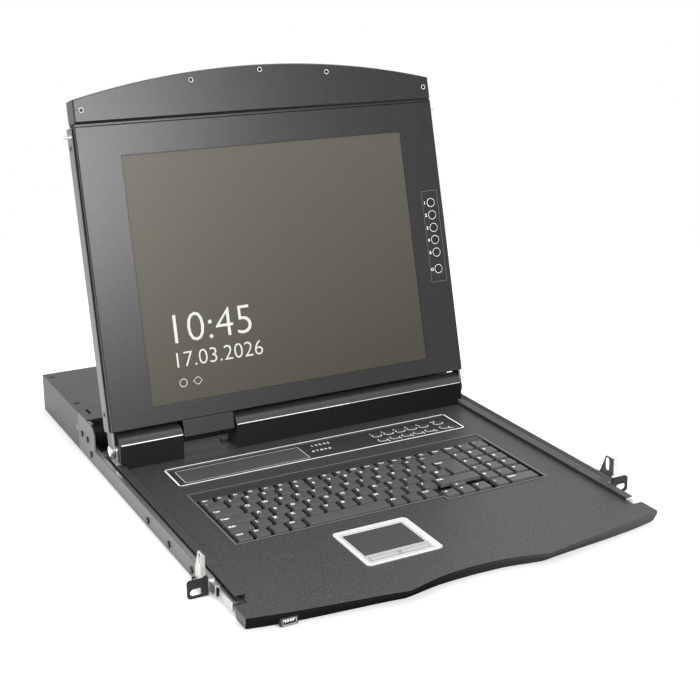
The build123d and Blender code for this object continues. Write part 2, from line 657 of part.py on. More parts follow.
def slide_inner():
    """Right inner member, riveted through its web to the tray wall, with a closed front end."""
    wall = RAIL_INNER - SLIDE_DEPTH
    face = wall + INNER_REACH
    member = channel(face, wall, INNER_HEIGHT, INNER_Y, SLIDE_SHEET)
    for y in RIVETS_Y:
        member += rod_x(wall, face + 0.5, y, SLIDE_Z, RIVET_RADIUS)
    low = SLIDE_Z - INNER_HEIGHT / 2
    high = SLIDE_Z + INNER_HEIGHT / 2
    return member + block(wall, face, INNER_Y[0], INNER_Y[0] + SLIDE_SHEET, low, high)


# Drawer tray
def bezel_outline(edge, recess, rear_x, z):
    """Plan outline of the front bezel at one height."""
    right = [Spline(*edge), Spline(*recess)]
    left_edge = [(-x, y) for x, y in reversed(edge)]
    left_recess = [(-x, y) for x, y in reversed(recess)]
    left = [Spline(*left_recess), Spline(*left_edge)]
    closing = Polyline((-edge[0][0], edge[0][1]), (-rear_x, WING_REAR_Y), (rear_x, WING_REAR_Y), edge[0])
    return Pos(0, 0, z) * make_face(Curve() + right + left + [closing])


def front_bezel():
    """Front of the deck: a lip over an undercut face, hollow from below."""
    lip_low = DECK_TOP - FACE_LIP
    top = bezel_outline(FRONT_EDGE, RECESS_EDGE, WING_X, lip_low)
    low = bezel_outline(FRONT_LOW, RECESS_LOW, FRONT_LOW[0][0], BEZEL_LOW)
    body = extrude(top, amount=DECK_TOP - lip_low, dir=(0, 0, 1)) + loft([low, top])
    side = FRONT_LOW[0][0] - BEZEL_SIDE
    wall = BEZEL_WALL
    pocket = [
        (side, WING_REAR_Y - BEZEL_SIDE),
        (side, FRONT_LOW[0][1] + wall),
        (FRONT_LOW[-1][0], FRONT_LOW[-1][1] + wall),
        (RECESS_LOW[2][0], RECESS_LOW[2][1] + wall),
        (0, RECESS_LOW[-1][1] + wall),
    ]
    mirrored = [(-x, y) for x, y in reversed(pocket[:-1])]
    body -= plan_plate(pocket + mirrored, BEZEL_LOW - 1, lip_low - 0.2)
    return body


def key_field(margin):
    """Plan outline of the stepped keyboard opening, grown by a margin."""
    front_left = ROW_FRONT - KEY_MARGIN - margin
    front_right = CURSOR_FRONT - KEY_MARGIN - margin
    half = KEY_FIELD_X + margin
    back = KEY_FIELD_BACK + margin
    step = KEY_FIELD_STEP_X - margin
    front = [(-half, front_left), (step, front_left), (step, front_right), (half, front_right)]
    return front + [(half, back), (-half, back)]


def tray_deck():
    """Deck of the drawer with its side lips and front bezel in one piece."""
    wall = LIP_INNER + DECK_SHEET
    deck = block(-wall, wall, WING_REAR_Y, TRAY_REAR_Y, DECK_TOP - DECK_SHEET, DECK_TOP)
    for side in (-1, 1):
        x1, x2 = sorted((side * LIP_INNER, side * wall))
        deck += block(x1, x2, LIP_FRONT_Y, TRAY_REAR_Y, DECK_TOP - DECK_SHEET, LIP_TOP)
        x1, x2 = sorted((side * LIP_INNER, side * (LIP_INNER + LIP_WIDTH)))
        deck += block(x1, x2, LIP_FRONT_Y, TRAY_REAR_Y, LIP_TOP - DECK_SHEET, LIP_TOP)
    deck += front_bezel()
    deck -= plan_plate(key_field(0), 0, DECK_TOP + 1)
    edge = STRIP_RIM
    deck -= block(-STRIP_X + edge, STRIP_X - edge, STRIP_Y[0] + edge, STRIP_Y[1] - edge, 5, DECK_TOP + 1)
    x1, x2 = TOUCH_X[0] + TOUCH_RIM, TOUCH_X[1] - TOUCH_RIM
    deck -= block(x1, x2, TOUCH_Y[0] + TOUCH_RIM, TOUCH_Y[1] - TOUCH_RIM, 5, DECK_TOP + 1)
    width, length, height = USB_HOUSING
    deck -= block(USB_X - width / 2, USB_X + width / 2, USB_FRONT_Y - 4, USB_FRONT_Y + length, 0, BEZEL_LOW + height)
    return deck


def tray_bottom():
    """Pan that closes the drawer from below; its walls carry the inner slide members."""
    half = RAIL_INNER - SLIDE_DEPTH
    high = DECK_TOP - DECK_SHEET
    outer = block(-half, half, PAN_FRONT_Y, TRAY_REAR_Y, PAN_LOW, high)
    inside = half - SHEET
    pan = outer - block(
        -inside, inside, PAN_FRONT_Y + SHEET, TRAY_REAR_Y - SHEET, PAN_LOW + SHEET, high - SHEET
    )
    mouth = half - PAN_FLANGE
    pan -= block(-mouth, mouth, PAN_FRONT_Y + PAN_FLANGE, TRAY_REAR_Y - PAN_FLANGE, PAN_LOW + SHEET, high + 1)
    return pan


# Keyboard
def key(x1, x2, y1, y2):
    """One key cap with sloping sides."""
    base = Pos((x1 + x2) / 2, (y1 + y2) / 2, KEY_TOP - KEY_HEIGHT) * Rectangle(x2 - x1, y2 - y1)
    return extrude(base, amount=KEY_HEIGHT, taper=KEY_TAPER)


def key_stem(x, y):
    """Square stem below a key, guided in a hole of the plate."""
    half = KEY_STEM / 2
    return block(x - half, x + half, y - half, y + half, KEY_PLATE_TOP - 0.9, KEY_TOP - KEY_HEIGHT + 0.2)


def keys_at(spots):
    """A cap with its stem for each (x1, x2, y1, y2) spot."""
    return [key(*spot) + key_stem((spot[0] + spot[1]) / 2, (spot[2] + spot[3]) / 2) for spot in spots]


def function_spots():
    """Row of low keys along the back of the main block."""
    pitch = (KEY_RIGHT - KEY_LEFT + KEY_GAP) / FUNCTION_COUNT
    starts = [KEY_LEFT + pitch * i for i in range(FUNCTION_COUNT)]
    return [(x, x + pitch - KEY_GAP, FUNCTION_FRONT, FUNCTION_FRONT + FUNCTION_DEPTH) for x in starts]


def row_of(x, count, y):
    """A run of plain keys starting at x."""
    return [(x + KEY_PITCH * i, x + KEY_PITCH * (i + 1) - KEY_GAP, y, y + ROW_DEPTH) for i in range(count)]


def space_spot():
    """Place of the space bar."""
    return (SPACE_LEFT, SPACE_RIGHT, ROW_FRONT, ROW_FRONT + ROW_DEPTH)


def main_spots():
    """Letter, number and edge keys in their staggered rows, without the enter key."""
    spots = row_of(KEY_LEFT, 4, ROW_FRONT) + row_of(SPACE_RIGHT + KEY_GAP, 3, ROW_FRONT)
    for number, (first, count, closed) in enumerate(KEY_ROWS):
        y = ROW_FRONT + ROW_PITCH * (number + 1)
        spots.append((KEY_LEFT, KEY_LEFT + first, y, y + ROW_DEPTH))
        x = KEY_LEFT + first + KEY_GAP
        spots += row_of(x, count, y)
        if closed:
            spots.append((x + KEY_PITCH * count, KEY_RIGHT, y, y + ROW_DEPTH))
    return spots


def enter_left():
    """Left edge of the enter key's front half, at the end of the second row."""
    return KEY_RIGHT - ENTER_WIDTH


def enter_middle():
    """Centre of the enter key."""
    return (enter_left() + KEY_RIGHT) / 2, ROW_FRONT + 2 * ROW_PITCH + (ROW_PITCH + ROW_DEPTH) / 2


def enter_key():
    """Tall key at the right end of two rows, wider at its back half."""
    x, y = enter_middle()
    low = KEY_TOP - KEY_HEIGHT
    tall = Pos(x, y, low) * Rectangle(ENTER_WIDTH, ROW_PITCH + ROW_DEPTH)
    wide_left = enter_left() - ENTER_STEP
    wide_y = ROW_FRONT + 3 * ROW_PITCH + ROW_DEPTH / 2
    wide = Pos((wide_left + KEY_RIGHT) / 2, wide_y, low) * Rectangle(KEY_RIGHT - wide_left, ROW_DEPTH)
    return extrude(tall + wide, amount=KEY_HEIGHT, taper=KEY_TAPER) + key_stem(x, y)


def cursor_spots():
    """Three cursor keys in front and a low one behind the middle."""
    width = CURSOR_PITCH - KEY_GAP
    starts = [CURSOR_LEFT + CURSOR_PITCH * i for i in range(3)]
    spots = [(x, x + width, CURSOR_FRONT, CURSOR_FRONT + ROW_DEPTH) for x in starts]
    return spots + [(starts[1], starts[1] + width, UP_FRONT, UP_FRONT + UP_DEPTH)]


def pad_spots():
    """Three columns of number keys with a wide enter key in front."""
    width = PAD_PITCH - KEY_GAP
    depth = PAD_ROW_PITCH - KEY_GAP
    spots = [(PAD_LEFT, PAD_LEFT + width, CURSOR_FRONT, CURSOR_FRONT + depth)]
    spots.append((PAD_LEFT + PAD_PITCH, PAD_LEFT + 2 * PAD_PITCH + width, CURSOR_FRONT, CURSOR_FRONT + depth))
    for row in range(1, 6):
        y = CURSOR_FRONT + PAD_ROW_PITCH * row
        for column in range(3):
            x = PAD_LEFT + PAD_PITCH * column
            spots.append((x, x + width, y, y + depth))
    return spots


def stem_places():
    """Centres of all key stems."""
    spots = function_spots() + main_spots() + cursor_spots() + pad_spots() + [space_spot()]
    places = [((x1 + x2) / 2, (y1 + y2) / 2) for x1, x2, y1, y2 in spots]
    return places + [enter_middle()]


def keyboard_frame():
    """Raised rim round the keyboard, with the plain band behind the keys."""
    rim = plan_plate(key_field(KEY_FRAME_RIM), DECK_TOP, DECK_TOP + KEY_FRAME_RISE)
    rim -= plan_plate(key_field(-0.4), DECK_TOP - 1, DECK_TOP + 2)
    wall = plan_plate(key_field(-0.2), KEY_PLATE_TOP, DECK_TOP + KEY_FRAME_RISE)
    wall -= plan_plate(key_field(-1.2), KEY_PLATE_TOP - 1, DECK_TOP + 2)
    half = KEY_FIELD_X - 0.2
    back = KEY_FIELD_BACK - 0.2
    band = block(-half, half, KEY_BAND_Y, back, DECK_TOP - 1.2, DECK_TOP)
    return rim + wall + band


def keyboard_plate():
    """Steel plate under the keys, standing on the tray pan."""
    plate = plan_plate(key_field(-0.2), KEY_PLATE_TOP - 1.2, KEY_PLATE_TOP)
    half = KEY_STEM / 2 + STEM_ROOM
    holes = [
        block(x - half, x + half, y - half, y + half, KEY_PLATE_TOP - 2, KEY_PLATE_TOP + 1)
        for x, y in stem_places()
    ]
    plate = plate - holes
    low = PAN_LOW + SHEET
    for x in (8.3 - KEY_FIELD_X, -45, 50, KEY_FIELD_X - 8.3):
        plate += block(x - 2.5, x + 2.5, KEY_BAND_Y + 3, KEY_BAND_Y + 9, low, KEY_PLATE_TOP - 1.2)
    return plate


# Switch strip
def button_places(columns):
    """Centres of the select buttons in the given columns."""
    return [(x, y) for x in columns for y in BUTTON_ROWS]


def strip_top():
    """Height of the strip's face."""
    return DECK_TOP - 0.2


def strip_frame():
    """Shallow strip with a raised rim, a window opening and button holes."""
    rim = block(-STRIP_X, STRIP_X, STRIP_Y[0], STRIP_Y[1], DECK_TOP, DECK_TOP + STRIP_RISE)
    in_x = STRIP_X - STRIP_RIM - 0.2
    in_y = (STRIP_Y[0] + STRIP_RIM + 0.2, STRIP_Y[1] - STRIP_RIM - 0.2)
    rim -= block(-in_x + 1, in_x - 1, in_y[0] + 1, in_y[1] - 1, DECK_TOP - 1, DECK_TOP + 2)
    body = block(-in_x, in_x, in_y[0], in_y[1], DECK_TOP - 3, DECK_TOP)
    body -= block(-in_x + 1, in_x - 1, in_y[0] + 1, in_y[1] - 1, strip_top(), DECK_TOP + 1)
    body -= block(-in_x + 1, in_x - 1, in_y[0] + 1, in_y[1] - 1, DECK_TOP - 4, strip_top() - 1.2)
    frame = rim + body
    frame -= block(WINDOW_X[0], WINDOW_X[1], WINDOW_Y[0], WINDOW_Y[1], 5, DECK_TOP + 2)
    for x, y in button_places(BUTTON_COLUMNS + [MODE_COLUMN]):
        hole = SlotOverall(BUTTON_LENGTH + 2 * BUTTON_ROOM, BUTTON_WIDTH + 2 * BUTTON_ROOM)
        frame -= Pos(x, y, 5) * extrude(hole, amount=20, dir=(0, 0, 1))
    return frame


def display_window():
    """Dark window at the left of the strip, with the display behind it."""
    window = block(WINDOW_X[0], WINDOW_X[1], WINDOW_Y[0], WINDOW_Y[1], strip_top() - 1.2, strip_top())
    low = PAN_LOW + SHEET
    edge = 1.5
    return window + block(
        WINDOW_X[0] + edge, WINDOW_X[1] - edge, WINDOW_Y[0] + edge, WINDOW_Y[1] - edge, low, strip_top() - 1.2
    )


def strip_buttons(columns):
    """Oval select buttons, two in each column."""
    buttons = []
    top = strip_top() + BUTTON_RISE
    for x, y in button_places(columns):
        shape = SlotOverall(BUTTON_LENGTH, BUTTON_WIDTH)
        buttons.append(Pos(x, y, top - BUTTON_BODY) * extrude(shape, amount=BUTTON_BODY, dir=(0, 0, 1)))
    return buttons


# Touch pad
def touchpad_frame():
    """Silver frame with round corners round the touch pad and its buttons."""
    width = TOUCH_X[1] - TOUCH_X[0]
    length = TOUCH_Y[1] - TOUCH_Y[0]
    centre = Pos((TOUCH_X[0] + TOUCH_X[1]) / 2, (TOUCH_Y[0] + TOUCH_Y[1]) / 2, 0)
    top = DECK_TOP + TOUCH_RISE
    plate = centre * Pos(0, 0, DECK_TOP) * extrude(RectangleRounded(width, length, TOUCH_CORNER), amount=TOUCH_RISE)
    edge = TOUCH_RIM + 0.2
    plate += block(TOUCH_X[0] + edge, TOUCH_X[1] - edge, TOUCH_Y[0] + edge, TOUCH_Y[1] - edge, DECK_TOP - 4, DECK_TOP)
    x1, x2 = TOUCH_PAD_X
    plate -= block(x1, x2, TOUCH_PAD_Y[0], TOUCH_PAD_Y[1], DECK_TOP - 1.0, top + 1)
    plate -= block(x1, x2, TOUCH_BUTTON_Y[0], TOUCH_BUTTON_Y[1], DECK_TOP - 5, top + 1)
    return plate


def touchpad():
    """The pad's own surface in the frame."""
    x1, x2 = TOUCH_PAD_X
    room = 0.1
    return block(x1 + room, x2 - room, TOUCH_PAD_Y[0] + room, TOUCH_PAD_Y[1] - room, DECK_TOP - 1.0, DECK_TOP + 0.4)


def touch_button(side):
    """Left (-1) or right (1) button in front of the pad."""
    middle = (TOUCH_PAD_X[0] + TOUCH_PAD_X[1]) / 2
    room = 0.3
    half = TOUCH_BUTTON_GAP / 2
    if side < 0:
        x1, x2 = TOUCH_PAD_X[0] + room, middle - half
    else:
        x1, x2 = middle + half, TOUCH_PAD_X[1] - room
    y1, y2 = TOUCH_BUTTON_Y[0] + room, TOUCH_BUTTON_Y[1] - room
    return block(x1, x2, y1, y2, DECK_TOP - 3, DECK_TOP + TOUCH_BUTTON_RISE)


# Socket in the front edge
def usb_housing():
    """Black housing of the front socket."""
    width, length, height = USB_HOUSING
    body = block(
        USB_X - width / 2, USB_X + width / 2, USB_FRONT_Y, USB_FRONT_Y + length, BEZEL_LOW, BEZEL_LOW + height
    )
    shell_x, shell_y, shell_z = USB_SHELL
    z = BEZEL_LOW + height / 2
    return body - block(
        USB_X - shell_x / 2, USB_X + shell_x / 2, USB_FRONT_Y - 1, USB_FRONT_Y + shell_y, z - shell_z / 2, z + shell_z / 2
    )


def usb_port():
    """Sheet metal shell of the socket with its tongue."""
    shell_x, shell_y, shell_z = USB_SHELL
    z = BEZEL_LOW + USB_HOUSING[2] / 2
    sheet = USB_SHELL_SHEET
    front = USB_FRONT_Y - 0.6
    rear = USB_FRONT_Y + shell_y
    shell = block(USB_X - shell_x / 2, USB_X + shell_x / 2, front, rear, z - shell_z / 2, z + shell_z / 2)
    shell -= block(
        USB_X - shell_x / 2 + sheet, USB_X + shell_x / 2 - sheet, front - 1, rear - sheet,
        z - shell_z / 2 + sheet, z + shell_z / 2 - sheet,
    )
    return shell + block(USB_X - 5.4, USB_X + 5.4, front + 1.5, rear - sheet, z + 0.1, z + 1.9)


# Hinge covers and brackets
def cover_section(wall, x):
    """Section of a hinge cover, taken in by a wall: upright in front, round over the hinge line."""
    radius = COVER_RADIUS - wall
    front = COVER_Y[0] + wall
    rear = COVER_Y[1] - wall
    front_top = HINGE_Z + sqrt(radius**2 - (HINGE_Y - front) ** 2)
    rear_top = HINGE_Z + sqrt(radius**2 - (rear - HINGE_Y) ** 2)
    arc = ThreePointArc((front, front_top), (HINGE_Y, HINGE_Z + radius), (rear, rear_top))
    low = DECK_TOP - (1 if wall else 0)
    rest = Polyline((rear, rear_top), (rear, low), (front, low), (front, front_top))
    return Pos(x, 0, 0) * make_face(Plane.YZ * (Curve() + [arc, rest]))


def hinge_cover(x1, x2, open_end):
    """Cover over the hinge line, with an open end for the hinge barrel."""
    cover = extrude(cover_section(0, x1), amount=x2 - x1, dir=(1, 0, 0))
    cover -= extrude(cover_section(COVER_WALL, x1 + COVER_WALL), amount=x2 - x1 - 2 * COVER_WALL, dir=(1, 0, 0))
    for end in open_end:
        inward = end - COVER_WALL - 1 if end > 0 else end - 1
        cover -= rod_x(inward, inward + COVER_WALL + 2, HINGE_Y, HINGE_Z, BARREL_RADIUS + 0.4)
        a, b = sorted((end + (1 if end > 0 else -1), (LIP_INNER - 0.3) * (1 if end > 0 else -1)))
        cover -= block(a, b, COVER_Y[0] - 1, COVER_Y[1] + 1, DECK_TOP - 1, LIP_TOP + FOOT_THICK + FOOT_SCREW_HEAD + 0.3)
    return cover


def hinge_bracket():
    """Right hinge bracket: foot on the lip, upright and the barrel round the pin."""
    foot_top = LIP_TOP + FOOT_THICK
    foot = block(LIP_INNER + 0.8, LIP_INNER + LIP_WIDTH, FOOT_Y[0], FOOT_Y[1], LIP_TOP, foot_top)
    upright = block(UPRIGHT_X[0], UPRIGHT_X[1], HINGE_Y - UPRIGHT_RADIUS, HINGE_Y + UPRIGHT_RADIUS, LIP_TOP, HINGE_Z)
    upright += rod_x(UPRIGHT_X[0], UPRIGHT_X[1], HINGE_Y, HINGE_Z, UPRIGHT_RADIUS)
    barrel = rod_x(BARREL_START, UPRIGHT_X[0], HINGE_Y, HINGE_Z, BARREL_RADIUS)
    bore = rod_x(BARREL_START - 1, UPRIGHT_X[1] + 1, HINGE_Y, HINGE_Z, HINGE_PIN_RADIUS + RUN_FIT)
    return foot + upright + barrel - bore


def hinge_arm():
    """Right arm of the upright lid with its pin and outer disc."""
    arm = rod_x(ARM_X[0], ARM_X[1], 0, 0, ARM_RADIUS)
    arm += lid_block(ARM_X[0], ARM_X[1], 0, LID_LOW - 0.3, -ARM_RADIUS, ARM_FRONT)
    arm += lid_block(ARM_X[0], ARM_X[1], 0, ARM_INSIDE_TOP, -ARM_RADIUS, ARM_INSIDE_FRONT)
    arm += rod_x(BARREL_START, ARM_X[0], 0, 0, HINGE_PIN_RADIUS)
    arm += rod_x(ARM_X[1], HINGE_DISC_END, 0, 0, HINGE_DISC_RADIUS)
    return arm


def cable_clip():
    """Small clip on the deck where the screen cable enters."""
    right = COVER_RIGHT[0] - CLIP_GAP
    rear = COVER_Y[1]
    clip = block(right - CLIP_LENGTH, right, rear - CLIP_DEPTH, rear, DECK_TOP, DECK_TOP + CLIP_HEIGHT)
    middle = rear - CLIP_DEPTH / 2
    return clip - rod_x(right - CLIP_LENGTH - 1, right + 1, middle, DECK_TOP + CLIP_HEIGHT / 2, 1.0)


# Lid
def lid_bezel():
    """Front frame of the lid with the screen and button openings and the cable tongue."""
    frame = lid_block(-BEZEL_HALF, BEZEL_HALF, LID_LOW, LID_HIGH, LID_SPLIT, LID_FACE)
    edges = frame.faces().sort_by(Axis.Y)[0].edges()
    frame = chamfer(edges, 0.8)
    inside = BEZEL_HALF - LID_WALL
    back_of_face = LID_FACE - BEZEL_FACE_WALL
    frame -= lid_block(-inside, inside, LID_LOW + LID_WALL, LID_HIGH - LID_WALL, LID_SPLIT - 1, back_of_face)
    half = SCREEN_WIDTH / 2 + SCREEN_ROOM
    low = SCREEN_LOW - SCREEN_ROOM
    high = SCREEN_LOW + SCREEN_HEIGHT + SCREEN_ROOM
    frame -= lid_block(-half, half, low, high, 0, LID_FACE + 1)
    frame -= lid_block(OSD_X[0], OSD_X[1], OSD_V[0], OSD_V[1], 0, LID_FACE + 1)
    return frame + lid_tongue()


def lid_tongue():
    """Hollow tongue below the lid that hides the screen cable."""
    low = TONGUE_BOTTOM
    points = [
        (-LID_FACE, LID_LOW), (-LID_FACE, low + 6), (-LID_FACE + 6, low), (-TONGUE_BACK - 4, low),
        (-TONGUE_BACK, low + 4), (-TONGUE_BACK, LID_LOW),
    ]
    tongue = side_plate(points, TONGUE_X[0], TONGUE_X[1])
    wall = 1.6
    hollow = [
        (-LID_FACE + wall, LID_LOW - wall), (-LID_FACE + wall, low + 6), (-LID_FACE + 6, low + wall),
        (-TONGUE_BACK - 4, low + wall), (-TONGUE_BACK - wall, low + 4), (-TONGUE_BACK - wall, LID_LOW - wall),
    ]
    return tongue - side_plate(hollow, TONGUE_X[0] + wall, TONGUE_X[1] - wall)


def lid_back():
    """Rear casing of the lid, open towards the bezel, slotted below for the hinge arms."""
    shell = lid_block(-LID_HALF, LID_HALF, LID_LOW, LID_HIGH, LID_BACK, LID_SPLIT)
    inside = LID_HALF - LID_WALL
    shell -= lid_block(-inside, inside, LID_LOW + LID_WALL, LID_HIGH - LID_WALL, LID_BACK + LID_WALL, LID_SPLIT + 1)
    for side in (-1, 1):
        x1, x2 = sorted((side * (ARM_X[0] - 0.3), side * (ARM_X[1] + 0.3)))
        shell -= lid_block(x1, x2, LID_LOW - 1, LID_LOW + 2, -ARM_RADIUS - 0.3, LID_SPLIT + 1)
    return shell


def handle_bar():
    """Arched bar along the free edge of the lid, on a narrower foot."""
    arc = ThreePointArc((BAR_HALF, BAR_SHOULDER), (0, BAR_TOP), (-BAR_HALF, BAR_SHOULDER))
    rest = Polyline(
        (-BAR_HALF, BAR_SHOULDER), (-BAR_HALF, BAR_LOW), (BAR_HALF, BAR_LOW), (BAR_HALF, BAR_SHOULDER)
    )
    face = make_face(Plane.XZ * (Curve() + [arc, rest]))
    bar = Pos(0, -BAR_BACK, 0) * extrude(face, amount=BAR_FRONT - BAR_BACK, dir=(0, -1, 0))
    bar = chamfer(bar.faces().sort_by(Axis.Y)[0].edges(), 1.2)
    foot = BAR_HALF - BAR_FOOT_SIDE
    return bar + lid_block(-foot, foot, LID_HIGH, BAR_LOW, -7.0, 9.0)


def lcd_panel():
    """Screen module with its face raised into the opening of the bezel."""
    half = SCREEN_WIDTH / 2
    high = SCREEN_LOW + SCREEN_HEIGHT
    margin = PANEL_MARGIN
    back_of_face = LID_FACE - BEZEL_FACE_WALL
    module = lid_block(-half - margin, half + margin, SCREEN_LOW - margin, high + margin, PANEL_BACK, back_of_face)
    return module + lid_block(-half, half, SCREEN_LOW, high, back_of_face, LID_FACE - SCREEN_RECESS)


def lcd_board():
    """Screen driver board on spacers at the back of the lid."""
    half = LID_BOARD[0] / 2
    low = SCREEN_LOW + LID_BOARD_LOW
    high = low + LID_BOARD[1]
    back = LID_BACK + 6.4
    board = lid_block(-half, half, low, high, back, back + BOARD_SHEET)
    edge = 6.0
    for x in (edge - half, half - edge):
        for v in (low + edge, high - edge):
            board += rod_y(-back, -LID_BACK - LID_WALL, x, v, 3.0)
    return board + lid_block(edge - half, 0, low + 30, high - 40, back + BOARD_SHEET, back + BOARD_SHEET + 3)


def osd_strip():
    """Strip beside the screen with a hole for each button."""
    room = 0.1
    strip = lid_block(
        OSD_X[0] + room, OSD_X[1] - room, OSD_V[0] + room, OSD_V[1] - room, LID_FACE - BEZEL_FACE_WALL, LID_FACE
    )
    for v in OSD_BUTTONS_V + [POWER_BUTTON_V]:
        strip -= rod_y(-LID_FACE - 1, -LID_FACE + 4, OSD_BUTTON_X, v, OSD_BUTTON_RADIUS + 0.3)
    back = lid_block(
        OSD_X[0] - 2, OSD_X[1] + 2, OSD_V[0] - 2, OSD_V[1] + 2, LID_FACE - BEZEL_FACE_WALL - 5, LID_FACE - BEZEL_FACE_WALL
    )
    back -= lid_block(
        OSD_X[0] + 2, OSD_X[1] - 2, OSD_V[0] + 2, OSD_V[1] - 2,
        LID_FACE - BEZEL_FACE_WALL - 4, LID_FACE - BEZEL_FACE_WALL + 1,
    )
    return strip + back


def lid_button(v):
    """One round button of the lid's strip."""
    return rod_y(-LID_FACE - OSD_RISE, -LID_FACE + BEZEL_FACE_WALL + 1, OSD_BUTTON_X, v, OSD_BUTTON_RADIUS)


def latch_catch():
    """Right side pin of the lid that the latch holds."""
    pin = rod_x(LID_HALF, CATCH_END, -CATCH_W, CATCH_V, CATCH_RADIUS)
    return pin + rod_x(LID_HALF, LID_HALF + 1.2, -CATCH_W, CATCH_V, 2 * CATCH_RADIUS)


# Screws
def chassis_screws():
    """Screws of both rails and of the top cover."""
    screws = []
    for y, z in RAIL_SCREWS + BRACKET_SCREWS:
        inner = RAIL_INNER - (SLIDE_SHEET if z < RAIL_TOP else SHEET)
        screw = rod_x(inner, HALF_BOX, y, z, SCREW_SHANK)
        screw += rod_x(HALF_BOX, HALF_BOX + SCREW_HEAD_HEIGHT, y, z, SCREW_HEAD)
        screws += [screw, flip(screw)]
    for y in TOP_SCREWS_Y:
        x = HALF_BOX - TOP_SCREW_SIDE
        screw = rod_z(UNIT_HEIGHT - 3, UNIT_HEIGHT, x, y, SCREW_SHANK)
        screw += rod_z(UNIT_HEIGHT, UNIT_HEIGHT + TOP_HEAD_HEIGHT, x, y, SCREW_HEAD)
        screws += [screw, flip(screw)]
    return screws


def tray_screws():
    """Screws of the hinge feet and of the tray underside."""
    screws = []
    foot_top = LIP_TOP + FOOT_THICK
    for side in (-1, 1):
        x, y = side * (LIP_INNER + 3.1), HINGE_Y + 3.9
        screws.append(rod_z(foot_top, foot_top + FOOT_SCREW_HEAD, x, y, 2.2))
    for x in (-150, 0, 150):
        for y in (PAN_FRONT_Y + 19, 200, TRAY_REAR_Y - 15):
            screws.append(rod_z(PAN_LOW - PAN_SCREW_HEAD, PAN_LOW, x, y, 2.6))
    return screws


def lid_screws():
    """Screws of the handle bar and the sides of the lid."""
    screws = []
    for x, v in BAR_SCREWS:
        for side in {x, -x}:
            screws.append(rod_y(-BAR_FRONT - 0.7, -BAR_FRONT, side, v, 3.0))
    for side in (-1, 1):
        for v in (LID_LOW + 19.0, LID_HIGH - 21.0):
            screws.append(rod_x(side * LID_HALF, side * (LID_HALF + 0.8), 4.0, v, 2.2))
    return screws


save("base_pan", base_pan())
save("side_rail_right", side_rail())
save("side_rail_left", flip(side_rail()))
save("cross_strip", cross_strip())
save("rear_cover", rear_cover())
save("rear_panel", rear_panel())
save("switch_board", switch_board())
save("power_supply", power_supply())
save("power_inlet", power_inlet())
save("power_switch", power_switch())
save("video_ports", *video_ports())
save("rack_ear_right", rack_ear())
save("rack_ear_left", flip(rack_ear()))
save("latch_pivots", latch_pivot(), flip(latch_pivot()))
save("latch_right", latch())
save("latch_left", flip(latch()))
save("slide_outer_right", slide_outer())
save("slide_outer_left", flip(slide_outer()))
save("slide_middle_right", slide_middle())
save("slide_middle_left", flip(slide_middle()))
save("slide_inner_right", slide_inner())
save("slide_inner_left", flip(slide_inner()))
save("tray_deck", tray_deck())
save("tray_bottom", tray_bottom())
save("keyboard_frame", keyboard_frame())
save("keyboard_plate", keyboard_plate())
save("keys_function_row", *keys_at(function_spots()))
save("keys_main", *keys_at(main_spots()), enter_key())
save("space_bar", *keys_at([space_spot()]))
save("keys_cursor", *keys_at(cursor_spots()))
save("keys_numpad", *keys_at(pad_spots()))
save("strip_frame", strip_frame())
save("display_window", display_window())
save("port_buttons", *strip_buttons(BUTTON_COLUMNS))
save("mode_buttons", *strip_buttons([MODE_COLUMN]))
save("touchpad_frame", touchpad_frame())
save("touchpad", touchpad())
save("touch_button_left", touch_button(-1))
save("touch_button_right", touch_button(1))
save("usb_housing", usb_housing())
save("usb_port", usb_port())
save("hinge_cover_left", hinge_cover(COVER_LEFT[0], COVER_LEFT[1], [COVER_LEFT[0]]))
save("hinge_cover_right", hinge_cover(COVER_RIGHT[0], COVER_RIGHT[1], [COVER_RIGHT[1]]))
save("hinge_bracket_right", hinge_bracket())
save("hinge_bracket_left", flip(hinge_bracket()))
save("cable_clip", cable_clip())
save("lid_bezel", lean(lid_bezel()))
save("lid_back", lean(lid_back()))
save("handle_bar", lean(handle_bar()))
save("lcd_panel", lean(lcd_panel()))
save("lcd_board", lean(lcd_board()))
save("osd_strip", lean(osd_strip()))
save("osd_buttons", *[lean(lid_button(v)) for v in OSD_BUTTONS_V])
save("power_button", lean(lid_button(POWER_BUTTON_V)))
save("hinge_arm_right", lean(hinge_arm()))
save("hinge_arm_left", lean(flip(hinge_arm())))
save("latch_catches", lean(latch_catch()), lean(flip(latch_catch())))
save("lid_screws", *[lean(screw) for screw in lid_screws()])
save("chassis_screws", *chassis_screws())
save("tray_screws", *tray_screws())
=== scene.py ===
# %% [markdown]
# A console drawer for a server rack: a flat box with a drawer that carries a keyboard, a touch pad
# and select buttons, and a screen in a folding lid. The solid parts are loaded as a frame in real
# metres. This script gives them their finishes, adds the marks that are too fine for solids, and
# sets up the light and the camera.

# %% Frame
import bpy, bmesh, json
from math import cos, sin, radians, pi
from mathutils import Matrix, Vector


